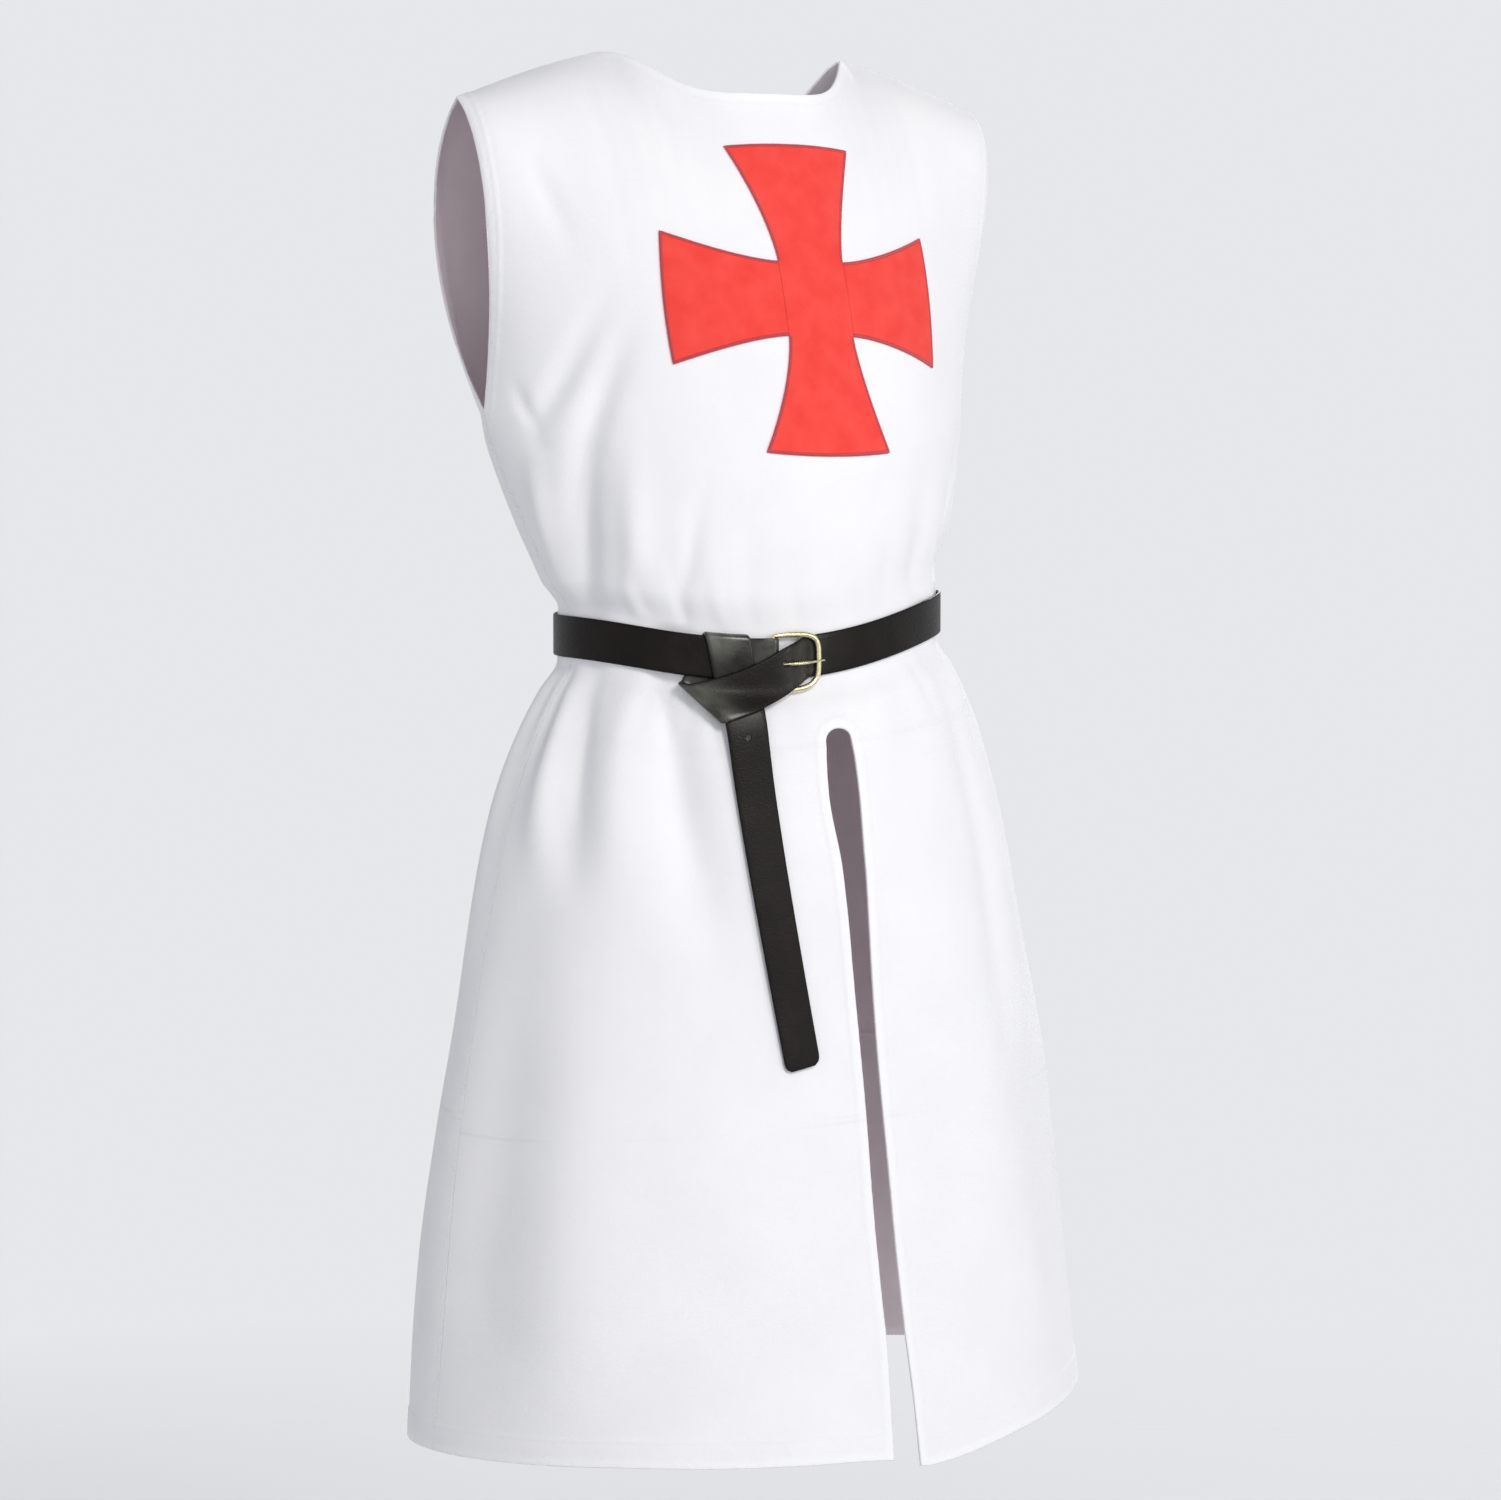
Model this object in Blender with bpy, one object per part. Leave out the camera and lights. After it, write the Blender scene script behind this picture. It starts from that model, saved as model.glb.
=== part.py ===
"""A sleeveless medieval surcoat, filled out as it is worn, with its knotted leather belt.

Metres, +Z up. The front faces -Y and +X is the wearer's left. The origin is between the
shoulders, where the wearer carries the cloth. Every piece that is cut and sewn is its own object.

The cloth is one rule, cloth_point(angle, height): rings below the underarm, and above it
columns that rise to the neckline or to the shoulder seam. Angle 0 is the centre front,
+90 degrees is the wearer's left side seam. The folds move that surface in and out.
"""

import math
from collections import namedtuple

import bmesh
import bpy
import numpy as np

# --- driving sizes, metres ---
CLOTH_WALL = 0.0016
SEAM_GAP = 0.0003
LAY_GAP = 0.0005  # between the cloth and the belt
CROSS_GAP = 0.0009  # between the cloth and the cross
HEM = -1.047
UNDERARM = -0.263
NECK_HALF = 0.107
NECK_TOP = 0.014
SHOULDER_HALF = 0.231
SHOULDER_FALL = 0.038
SHOULDER_ROUND = 1.3
SHOULDER_TILT = math.radians(0.7)  # the wearer's left shoulder is a little higher
FRONT_NECK_DROP = 0.034
FRONT_NECK_DEPTH = 0.077
FRONT_NECK_SQUARE = (5.0, 2.7)  # how squarely the neckline turns up to the shoulder
BACK_NECK_DROP = 0.045
BACK_NECK_DEPTH = 0.066
BACK_NECK_SQUARE = (8.0, 2.0)
SOFTENING = [math.radians(turn) for turn in (-9.0, -4.5, 0.0, 4.5, 9.0)]
YOKE_RISE = 0.085  # how far a column keeps the chest's slope above the underarm
HEM_BAND = 0.020  # the turned hem at the foot
EDGE_BAND = 0.010  # the turned edges of neck, armholes and slit
TURNING = 0.0007  # how far a turned edge stands proud
SLIT_TOP = -0.499
SLIT_COLUMN = math.radians(2.6)  # the column that the slit's edges follow
CROSS_HALF = 0.121
CROSS_END = 0.0525
UPRIGHT_END = 0.0570
CROSS_BULGE = 0.003
CROSS_MIDDLE = 0.0295
CROSS_SHIFT = 0.007
CROSS_HEIGHT = -0.179
CROSS_WALL = 0.0012
BELT_WIDTH = 0.032
BELT_WALL = 0.0026
BELT_HEIGHT = -0.4275
BELT_RADIUS = 0.13
KNOT_ANGLE = math.radians(-25.0)
SAG_ANGLE = math.radians(-12.0)
HINGE_ALONG = 0.0235
HINGE_OUT = 0.00465
HINGE_BAR = 0.0013
FRAME_REACH = 0.0365
FRAME_OUT = 0.0052
FRAME_UP = -0.003
FRAME_HALF = 0.0210
FRAME_BAR = 0.0017
PRONG_UP = -0.004
PRONG_BAR = 0.0011
HOLE_RADIUS = 0.0022

QUARTER = math.pi / 2 - 1e-6  # just short, so that each panel keeps to its own side

# --- the rings, from the hem up: angles in degrees, the rest in metres ---
Section = namedtuple(
    "Section", "height half_width front back pinch shift_x shift_y twist roll sag"
)
SECTIONS = [
    Section(-1.047, 0.2840, 0.2230, 0.202, 1.00, 0.010, -0.020, 3.2, 2.9, 0.004),
    Section(-0.996, 0.2805, 0.2165, 0.198, 1.00, 0.010, -0.020, 3.0, 2.9, 0.004),
    Section(-0.901, 0.2725, 0.2000, 0.189, 1.00, 0.010, -0.020, 2.4, 3.0, 0.000),
    Section(-0.806, 0.2600, 0.1860, 0.176, 1.00, 0.011, -0.020, 1.7, 3.0, 0.000),
    Section(-0.711, 0.2430, 0.1720, 0.164, 1.00, 0.012, -0.020, 1.0, 3.0, 0.000),
    Section(-0.616, 0.2235, 0.1610, 0.150, 1.00, 0.012, -0.020, 0.5, 3.0, 0.004),
    Section(-0.545, 0.2029, 0.1480, 0.139, 1.00, 0.010, -0.022, 0.0, 3.0, 0.009),
    Section(-0.498, 0.1858, 0.1380, 0.130, 1.00, 0.009, -0.025, 0.0, 3.0, 0.015),
    Section(-0.470, 0.1720, 0.1275, 0.124, 1.00, 0.008, -0.028, 0.0, 3.0, 0.020),
    Section(-0.4475, 0.1580, 0.1155, 0.1155, 1.00, 0.007, -0.030, 0.0, 3.0, 0.022),
    Section(-0.4075, 0.1580, 0.1155, 0.1155, 1.00, 0.007, -0.030, 0.0, 3.0, 0.022),
    Section(-0.386, 0.1650, 0.1275, 0.125, 1.03, -0.001, -0.026, 0.0, 2.3, 0.016),
    Section(-0.356, 0.1780, 0.1405, 0.128, 1.06, 0.000, -0.019, 0.0, 1.4, 0.008),
    Section(-0.332, 0.1880, 0.1465, 0.127, 1.10, 0.000, -0.013, 0.0, 0.6, 0.003),
    Section(-0.308, 0.1970, 0.1520, 0.124, 1.15, 0.000, -0.007, 0.0, 0.2, 0.001),
    Section(-0.285, 0.2045, 0.1545, 0.118, 1.20, 0.000, -0.002, 0.0, 0.0, 0.000),
    Section(-0.263, 0.2090, 0.1530, 0.112, 1.25, 0.000, 0.000, 0.0, 0.0, 0.000),
]

# --- how each column rises from the underarm ring to the top edge, by its angle ---
# lean moves its lower control point, reach places its upper one, from the top edge.
Guide = namedtuple("Guide", "angle lean_x lean_y reach_x reach_y reach_z")
FRONT_GUIDES = [
    Guide(0.0, 0.000, 0.000, 0.000, -0.028, -0.078),
    Guide(14.0, 0.000, 0.000, 0.000, -0.042, -0.067),
    Guide(21.0, 0.000, 0.000, 0.000, -0.059, -0.055),
    Guide(27.6, 0.000, 0.000, 0.000, -0.073, -0.044),
    Guide(36.0, -0.001, 0.001, 0.000, -0.081, -0.034),
    Guide(45.0, -0.003, 0.002, 0.000, -0.078, -0.020),
    Guide(70.0, -0.009, -0.010, 0.002, -0.074, -0.018),
    Guide(90.0, -0.017, -0.028, 0.004, -0.060, -0.044),
]
BACK_GUIDES = [
    Guide(0.0, 0.000, 0.004, 0.000, 0.038, -0.069),
    Guide(14.0, 0.000, 0.004, 0.000, 0.050, -0.054),
    Guide(21.0, 0.000, 0.006, 0.000, 0.065, -0.047),
    Guide(27.6, 0.000, 0.008, 0.000, 0.077, -0.040),
    Guide(36.0, -0.001, 0.013, 0.000, 0.084, -0.035),
    Guide(45.0, -0.003, 0.020, 0.000, 0.082, -0.018),
    Guide(70.0, -0.009, 0.056, 0.002, 0.076, -0.020),
    Guide(90.0, -0.017, 0.088, 0.004, 0.060, -0.050),
]

# --- how far the hem hangs below its ring, by angle in degrees ---
Drop = namedtuple("Drop", "angle drop")
HEM_DROPS = [
    Drop(-180, 0.000), Drop(-120, -0.004), Drop(-90, -0.009), Drop(-52, -0.012),
    Drop(-20, -0.006), Drop(-4, 0.000), Drop(5, 0.011), Drop(25, 0.005), Drop(60, 0.000),
    Drop(180, 0.000),
]

# --- the largest folds: depth below zero is a trough, above zero a ridge ---
# from_ and to are (angle in degrees, height); width is half the fold's width at each end.
Fold = namedtuple("Fold", "from_angle from_height to_angle to_height width to_width depth peak")
FOLDS = [
    # above the belt, on the wearer's right
    Fold(-77, -0.412, -44, -0.235, 0.018, 0.011, -0.0125, 0.30),
    Fold(-58, -0.310, -35, -0.180, 0.011, 0.012, -0.0060, 0.40),
    Fold(-68, -0.282, -36, -0.160, 0.011, 0.015, -0.0062, 0.30),
    Fold(-86, -0.390, -69, -0.280, 0.011, 0.013, 0.0050, 0.45),
    Fold(-56, -0.410, -39, -0.255, 0.011, 0.014, 0.0060, 0.30),
    Fold(-50, -0.160, -61, -0.080, 0.011, 0.013, -0.0030, 0.45),
    # above the belt, on the wearer's left
    Fold(40, -0.412, 30, -0.285, 0.013, 0.020, -0.0050, 0.35),
    Fold(62, -0.412, 55, -0.250, 0.013, 0.020, -0.0075, 0.45),
    Fold(78, -0.412, 74, -0.285, 0.012, 0.018, 0.0060, 0.40),
    # below the belt, on the front
    Fold(-88, -0.447, -80, -0.570, 0.010, 0.014, -0.0065, 0.35),
    Fold(-84, -0.447, -72, -0.630, 0.011, 0.022, 0.0085, 0.50),
    Fold(-74, -0.447, -60, -0.640, 0.012, 0.021, -0.0115, 0.38),
    Fold(-59, -0.447, -49, -0.660, 0.013, 0.030, 0.0070, 0.40),
    Fold(-46, -0.445, -22, -0.750, 0.016, 0.024, -0.0140, 0.30),
    Fold(-31, -0.447, -29, -0.530, 0.012, 0.014, -0.0014, 0.30),
    Fold(24, -0.447, 20, -0.560, 0.014, 0.026, -0.0030, 0.30),
    Fold(43, -0.447, 36, -0.880, 0.014, 0.026, -0.0060, 0.45),
    Fold(62, -0.447, 64, -0.800, 0.014, 0.038, -0.0090, 0.30),
    Fold(82, -0.447, 84, -0.700, 0.014, 0.034, 0.0070, 0.35),
    # long soft flutes of the skirt
    Fold(-74, -0.600, -80, -1.080, 0.030, 0.055, -0.0110, 0.60),
    Fold(-54, -0.640, -58, -1.080, 0.034, 0.050, 0.0070, 0.60),
    Fold(48, -0.640, 52, -1.080, 0.034, 0.055, -0.0080, 0.60),
    # the back
    Fold(108, -0.447, 106, -0.760, 0.013, 0.034, -0.0100, 0.35),
    Fold(128, -0.447, 132, -0.840, 0.014, 0.040, 0.0090, 0.40),
    Fold(147, -0.447, 150, -0.720, 0.013, 0.034, -0.0110, 0.35),
    Fold(172, -0.447, 168, -0.860, 0.015, 0.042, 0.0080, 0.40),
    Fold(196, -0.447, 194, -0.740, 0.013, 0.036, -0.0120, 0.35),
    Fold(216, -0.447, 220, -0.820, 0.014, 0.040, 0.0080, 0.40),
    Fold(237, -0.447, 240, -0.700, 0.013, 0.034, -0.0100, 0.35),
    Fold(258, -0.447, 256, -0.760, 0.013, 0.034, 0.0070, 0.35),
    Fold(118, -0.700, 116, -1.080, 0.045, 0.060, -0.0110, 0.65),
    Fold(160, -0.760, 158, -1.080, 0.045, 0.060, -0.0100, 0.65),
    Fold(205, -0.740, 208, -1.080, 0.045, 0.060, -0.0110, 0.65),
    Fold(250, -0.700, 248, -1.080, 0.042, 0.058, 0.0020, 0.65),
    Fold(112, -0.412, 122, -0.220, 0.013, 0.020, -0.0080, 0.40),
    Fold(134, -0.412, 142, -0.270, 0.013, 0.020, 0.0060, 0.35),
    Fold(152, -0.412, 160, -0.240, 0.012, 0.020, -0.0070, 0.35),
    Fold(178, -0.412, 180, -0.290, 0.013, 0.022, 0.0060, 0.35),
    Fold(204, -0.412, 198, -0.240, 0.012, 0.020, -0.0075, 0.35),
    Fold(226, -0.412, 218, -0.280, 0.013, 0.020, 0.0060, 0.35),
    Fold(248, -0.412, 236, -0.215, 0.013, 0.020, -0.0085, 0.40),
]

# --- the slit in the front, from its top down to the hem ---
Slit = namedtuple("Slit", "height half_gap")
SLIT = [
    Slit(-1.047, 0.0125),
    Slit(-1.000, 0.0110),
    Slit(-0.950, 0.0090),
    Slit(-0.860, 0.0085),
    Slit(-0.770, 0.0075),
    Slit(-0.680, 0.0085),
    Slit(-0.600, 0.0105),
    Slit(-0.545, 0.0135),
    Slit(-0.515, 0.0125),
    Slit(-0.499, 0.0110),
]

# --- the strap's route, in belt places: along from the knot to the wearer's left, up from the
# belt's middle line, out from the cloth to the strap's middle layer. lean turns its width
# from upright (0) towards the wearer's right (90), in degrees ---
Station = namedtuple("Station", "along up out lean")
STRAP_START = [  # the end sewn round the hinge bar, and on over the knot's hidden turn
    Station(0.0060, 0.0, 0.00180, 0),
    Station(0.0150, 0.0, 0.00180, 0),
    Station(0.0235, 0.0, 0.00175, 0),
    Station(0.0256, 0.0, 0.00260, 0),
    Station(0.0264, 0.0, 0.00465, 0),
    Station(0.0256, 0.0, 0.00670, 0),
    Station(0.0235, 0.0, 0.00755, 0),
    Station(0.0165, 0.0, 0.00690, 0),
    Station(0.0070, 0.0, 0.00500, 0),
    Station(-0.0100, 0.0, 0.00490, 0),
    Station(-0.0300, 0.0, 0.00490, 0),
    Station(-0.0520, 0.0, 0.00490, 0),
    Station(-0.0700, 0.0, 0.00300, 0),
    Station(-0.0880, 0.0, 0.00180, 0),
]
STRAP_END = [  # under the frame, over the bar, down to the turn at the lower edge
    Station(0.0850, 0.0000, 0.00180, 0),
    Station(0.0740, 0.0000, 0.00180, 0),
    Station(0.0600, 0.0000, 0.00180, 0),
    Station(0.0535, -0.0002, 0.00185, 1),
    Station(0.0490, -0.0012, 0.00350, 3),
    Station(0.0435, -0.0032, 0.00680, 5),
    Station(0.0350, -0.0070, 0.01010, 10),
    Station(0.0240, -0.0130, 0.01130, 18),
    Station(0.0120, -0.0190, 0.01170, 25),
    Station(0.0000, -0.0245, 0.01170, 31),
    Station(-0.0130, -0.0295, 0.01160, 38),
    Station(-0.0250, -0.0338, 0.01130, 44),
    # the turn under
    Station(-0.0292, -0.0350, 0.01040, 46),
    Station(-0.0322, -0.0352, 0.00850, 47),
    Station(-0.0336, -0.0346, 0.00650, 48),
    Station(-0.0338, -0.0328, 0.00450, 49),
    Station(-0.0326, -0.0300, 0.00270, 51),
    Station(-0.0306, -0.0260, 0.00190, 54),
    # up behind the belt
    Station(-0.0260, -0.0150, 0.00180, 62),
    Station(-0.0205, -0.0020, 0.00180, 74),
    Station(-0.0160, 0.0090, 0.00180, 85),
    Station(-0.0140, 0.0146, 0.00185, 90),
    # over its top edge
    Station(-0.0132, 0.0168, 0.00270, 90),
    Station(-0.0126, 0.0177, 0.00495, 90),
    Station(-0.0120, 0.0168, 0.00720, 90),
    Station(-0.0112, 0.0144, 0.00810, 90),
    # down in front, under the band, and hanging
    Station(-0.0095, 0.0060, 0.00815, 90),
    Station(-0.0070, -0.0080, 0.00815, 92),
    Station(-0.0042, -0.0220, 0.00815, 94),
    Station(-0.0018, -0.0360, 0.00790, 95),
    Station(0.0002, -0.0500, 0.00650, 96),
    Station(0.0018, -0.0650, 0.00480, 97),
    Station(0.0046, -0.0900, 0.00340, 98),
    Station(0.0100, -0.1300, 0.00280, 99),
    Station(0.0170, -0.1750, 0.00250, 100),
    Station(0.0250, -0.2200, 0.00250, 100),
    Station(0.0345, -0.2700, 0.00250, 100),
    Station(0.0415, -0.3060, 0.00260, 100),
]
PRONG = [  # an eye half round the hinge bar, then out through the strap to the frame
    Station(0.0245, PRONG_UP, 0.00205, 0),
    Station(0.0226, PRONG_UP, 0.00210, 0),
    Station(0.0210, PRONG_UP, 0.00330, 0),
    Station(0.0207, PRONG_UP, 0.00500, 0),
    Station(0.0220, PRONG_UP, 0.00680, 0),
    Station(0.0245, PRONG_UP, 0.00745, 0),
    Station(0.0290, PRONG_UP, 0.00830, 0),
    Station(0.0345, PRONG_UP, 0.01010, 0),
    Station(0.0400, PRONG_UP, 0.01150, 0),
    Station(0.0460, PRONG_UP, 0.01130, 0),
    Station(0.0530, PRONG_UP, 0.00980, 0),
    Station(0.0600, PRONG_UP, 0.00850, 0),
    Station(0.0638, PRONG_UP, 0.00790, 0),
]
# holes through the strap: a box of belt places, half its length, height and depth
Hole = namedtuple("Hole", "name along up out half_along half_up half_out round")
HOLES = [
    Hole("loop_slot", 0.0243, PRONG_UP, 0.0044, 0.0052, 0.0016, 0.0052, False),
    Hole("prong_hole", 0.0352, PRONG_UP, 0.0102, 0.0062, 0.0016, 0.0034, False),
    Hole("tail_hole", 0.0010, -0.0585, 0.0055, HOLE_RADIUS, HOLE_RADIUS, 0.0060, True),
]


def blend_through(marks, table, at):
    """Each column of table, given at rising marks, read at `at` with no overshoot between them."""
    marks, table, at = np.asarray(marks, float), np.asarray(table, float), np.asarray(at, float)
    step = np.diff(marks)[:, None]
    slope = np.diff(table, axis=0) / step
    tangent = np.zeros_like(table)
    tangent[0], tangent[-1] = slope[0], slope[-1]
    before, after = slope[:-1], slope[1:]
    same_way = before * after > 0
    wide, narrow = 2 * step[1:] + step[:-1], step[1:] + 2 * step[:-1]
    safe_before = np.where(same_way, before, 1.0)
    safe_after = np.where(same_way, after, 1.0)
    harmonic = (wide + narrow) / (wide / safe_before + narrow / safe_after)
    tangent[1:-1] = np.where(same_way, harmonic, 0.0)
    piece = np.clip(np.searchsorted(marks, at, side="right") - 1, 0, len(marks) - 2)
    length = step[piece, 0]
    share = np.clip((at - marks[piece]) / length, -0.2, 1.2)[..., None]
    length = length[..., None]
    return (
        (1 + 2 * share) * (1 - share) ** 2 * table[piece]
        + share * (1 - share) ** 2 * length * tangent[piece]
        + share**2 * (3 - 2 * share) * table[piece + 1]
        + share**2 * (share - 1) * length * tangent[piece + 1]
    )


def read_table(rows, at):
    """A table of named rows, whose first column is the mark, read at `at` as one named row of arrays."""
    table = np.array(rows, float)
    columns = blend_through(table[:, 0], table, at)
    return type(rows[0])(*np.moveaxis(columns, -1, 0))


def smooth_step(value):
    share = np.clip(value, 0.0, 1.0)
    return share * share * (3 - 2 * share)


def wrapped(angle):
    return (angle + math.pi) % (2 * math.pi) - math.pi


def ring_point(angle, height):
    """The cloth with no folds, below the underarm."""
    section = read_table(SECTIONS, height)
    side, ahead = np.sin(angle), np.cos(angle)
    depth = np.where(ahead >= 0, section.front, section.back)
    across = section.half_width * side
    along = -depth * np.sign(ahead) * np.abs(ahead) ** section.pinch
    twist = np.radians(section.twist)
    x = across * np.cos(twist) - along * np.sin(twist)
    y = across * np.sin(twist) + along * np.cos(twist)
    drop = section.sag * np.maximum(np.cos(angle - SAG_ANGLE), 0) ** 3
    hang = read_table(HEM_DROPS, np.degrees(wrapped(angle))).drop
    drop = drop + hang * smooth_step((-0.80 - height) / 0.25)
    z = height + x * np.tan(np.radians(section.roll)) - drop
    return np.stack([x + section.shift_x, y + section.shift_y, z], axis=-1)


def top_edge(angle):
    """The neckline, and outside it the shoulder seam."""
    side, front = np.sin(angle), np.cos(angle) >= 0
    x = SHOULDER_HALF * side
    inward = np.clip(np.abs(x) / NECK_HALF, 0, 1)
    depth = np.where(front, -FRONT_NECK_DEPTH, BACK_NECK_DEPTH)
    drop = np.where(front, FRONT_NECK_DROP, BACK_NECK_DROP)
    corner = np.where(front, FRONT_NECK_SQUARE[0], BACK_NECK_SQUARE[0])
    ease = np.where(front, FRONT_NECK_SQUARE[1], BACK_NECK_SQUARE[1])
    y = depth * (1 - inward**2.6)
    fall = np.clip(np.abs(x) - NECK_HALF, 0, None) / (SHOULDER_HALF - NECK_HALF)
    z = NECK_TOP - drop * (1 - inward**corner) ** ease - SHOULDER_FALL * fall**SHOULDER_ROUND
    z = z + x * math.tan(SHOULDER_TILT)
    return np.stack([x, y, z], axis=-1)


def yoke_point(angle, share):
    """The cloth above the underarm: share 0 is the underarm ring and 1 the top edge."""
    bottom = ring_point(angle, np.full_like(angle, UNDERARM))
    below = ring_point(angle, np.full_like(angle, UNDERARM - 0.004))
    top = top_edge(angle)
    # the neckline's corner is a cut edge, so it must not run down into the cloth as a crease
    soft = sum(top_edge(angle + turn) for turn in SOFTENING) / len(SOFTENING)
    front = np.cos(angle) >= 0
    off_centre = np.abs(np.degrees(np.arcsin(np.clip(np.sin(angle), -1, 1))))
    ahead, behind = read_table(FRONT_GUIDES, off_centre), read_table(BACK_GUIDES, off_centre)
    guide = [np.where(front, a, b) for a, b in zip(ahead, behind)]
    hand = np.sign(np.sin(angle))
    lower = bottom + (bottom - below) / 0.004 * YOKE_RISE
    lower = lower + np.stack([guide[1] * hand, guide[2], 0 * hand], axis=-1)
    upper = soft + np.stack([guide[3] * hand, guide[4], guide[5]], axis=-1)
    up = share[..., None]
    down = 1 - up
    curve = down**3 * bottom + 3 * down**2 * up * lower + 3 * down * up**2 * upper + up**3 * soft
    return curve + (top - soft) * up**10


def plain_point(angle, height):
    """The cloth with no folds: height runs on above the underarm to 0 at the top edge."""
    angle, height = np.broadcast_arrays(np.asarray(angle, float), np.asarray(height, float))
    share = np.clip((height - UNDERARM) / -UNDERARM, 0, None)
    low = ring_point(angle, np.minimum(height, UNDERARM))
    high = yoke_point(angle, share)
    return np.where((height > UNDERARM)[..., None], high, low)


def normal_of(surface, angle, height):
    """The outward normal of a surface rule, by small steps that stay on one side of an edge."""
    step_angle, step_height = 0.01, 0.0015
    yoke = height > UNDERARM
    front = np.cos(angle) >= 0
    low, high = angle - step_angle, angle + step_angle
    crosses = yoke & ((np.cos(low) >= 0) != front)
    low = np.where(crosses, angle, low)
    crosses = yoke & ((np.cos(high) >= 0) != front)
    high = np.where(crosses, angle, high)
    across = surface(high, height) - surface(low, height)
    upward = surface(angle, height + step_height) - surface(angle, height - step_height)
    normal = np.cross(across, upward)
    return normal / np.linalg.norm(normal, axis=-1, keepdims=True)


def fold_depth(angle, height):
    """How far the folds move the cloth out, summed over all of them."""
    total = np.zeros(np.broadcast(angle, height).shape)
    radius = 0.5 * (read_table(SECTIONS, np.clip(height, HEM, UNDERARM)).half_width + 0.15)
    under_belt = np.abs(height - BELT_HEIGHT) < 0.0205
    for fold in FOLDS:
        run = (height - fold.from_height) / (fold.to_height - fold.from_height)
        inside = np.clip(run, 0, 1)
        centre = np.radians(fold.from_angle + (fold.to_angle - fold.from_angle) * inside)
        width = fold.width + (fold.to_width - fold.width) * inside
        away = wrapped(angle - centre) * radius / width
        rise = smooth_step((inside + 0.12) / (fold.peak + 0.12))
        fall = smooth_step((1 - inside) / (1 - fold.peak))
        fade = np.where((run < -0.12) | (run > 1), 0.0, rise * fall)
        total += fold.depth * np.exp(-(away**2)) * fade
    return np.where(under_belt, np.minimum(total, 0), total)


def cloth_point(angle, height):
    """The outside of the cloth."""
    angle, height = np.broadcast_arrays(np.asarray(angle, float), np.asarray(height, float))
    normal = normal_of(plain_point, angle, height)
    return plain_point(angle, height) + fold_depth(angle, height)[..., None] * normal


def seam_normal(angle, height, normal):
    """At the shoulder seam both panels share one normal, so their edges face each other."""
    at_seam = (height > -1e-6) & (np.abs(np.sin(angle)) * SHOULDER_HALF > NECK_HALF - 1e-6)
    slope = SHOULDER_FALL / (SHOULDER_HALF - NECK_HALF)
    shared = np.stack(
        [np.sign(np.sin(angle)) * slope, np.zeros_like(angle), np.ones_like(angle)], axis=-1
    )
    shared /= np.linalg.norm(shared, axis=-1, keepdims=True)
    return np.where(at_seam[..., None], shared, normal)


def turned_edge(angle, height):
    """1 on the turned hems of foot, neck and armholes, else 0."""
    foot = height < HEM + HEM_BAND - 1e-4
    off_side = np.abs(QUARTER - np.abs(wrapped(angle)))
    armhole = (height > UNDERARM - 1e-6) & (off_side * 0.2 < EDGE_BAND)
    in_neck = np.abs(np.sin(angle)) * SHOULDER_HALF < NECK_HALF
    neck = in_neck & (height > -EDGE_BAND)
    return np.where(foot | armhole | neck, 1.0, 0.0)


def slit_half_gap(height):
    return read_table(SLIT, np.clip(height, HEM, SLIT_TOP)).half_gap


def add_mesh(name, points, faces, material):
    mesh = bpy.data.meshes.new(name)
    mesh.from_pydata([tuple(p) for p in points], [], faces)
    mesh.materials.append(material)
    mesh.update()
    obj = bpy.data.objects.new(name, mesh)
    bpy.context.scene.collection.objects.link(obj)
    return obj


def wall(name, outer, inner, material, kept=None):
    """A closed wall between two grids of points; kept marks the cells that are there."""
    rows, columns = outer.shape[:2]
    kept = np.ones((rows - 1, columns - 1), bool) if kept is None else kept
    count = rows * columns
    faces, edges = [], {}
    for row in range(rows - 1):
        for column in range(columns - 1):
            if not kept[row, column]:
                continue
            corner = row * columns + column
            quad = [corner, corner + 1, corner + 1 + columns, corner + columns]
            faces.append(quad)
            faces.append([index + count for index in reversed(quad)])
            for start, end in zip(quad, quad[1:] + quad[:1]):
                edges[(start, end)] = True
    for start, end in edges:
        if (end, start) not in edges:
            faces.append([end, start, start + count, end + count])
    points = np.concatenate([outer.reshape(-1, 3), inner.reshape(-1, 3)])
    used = sorted({index for face in faces for index in face})
    renumber = {index: place for place, index in enumerate(used)}
    faces = [[renumber[index] for index in face] for face in faces]
    obj = add_mesh(name, points[used], faces, material)
    recalculate(obj)
    return obj


def panel(name, angles, heights, part_y, material, kept=None):
    """A sewn panel: angles and heights are grids, and part_y opens half a seam's gap."""
    base = cloth_point(angles, heights)
    normal = seam_normal(angles, heights, normal_of(cloth_point, angles, heights))
    raised = base + turned_edge(angles, heights)[..., None] * TURNING * normal
    shift = np.array([0, part_y, 0])
    return wall(name, raised + shift, base - CLOTH_WALL * normal + shift, material, kept)


def panel_heights():
    """The rows of both panels: close together at the belt and at the hem's fold."""
    foot = [HEM, HEM + HEM_BAND - 0.0012, HEM + HEM_BAND]
    skirt = np.linspace(HEM + 0.055, -0.545, 13)
    waist = [-0.520, -0.499, -0.489, -0.479, -0.469, -0.459, -0.4473, -0.4275, -0.4077]
    chest = [-0.396, -0.385, -0.371, -0.354, -0.334, -0.312, -0.288, UNDERARM]
    yoke = [-0.240, -0.215, -0.190, -0.165, -0.140, -0.115, -0.090, -0.066, -0.044, -0.026]
    top = [-EDGE_BAND - 0.001, -EDGE_BAND + 0.001, 0.0]
    return np.array([*foot, *skirt, *waist, *chest, *yoke, *top])


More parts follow.
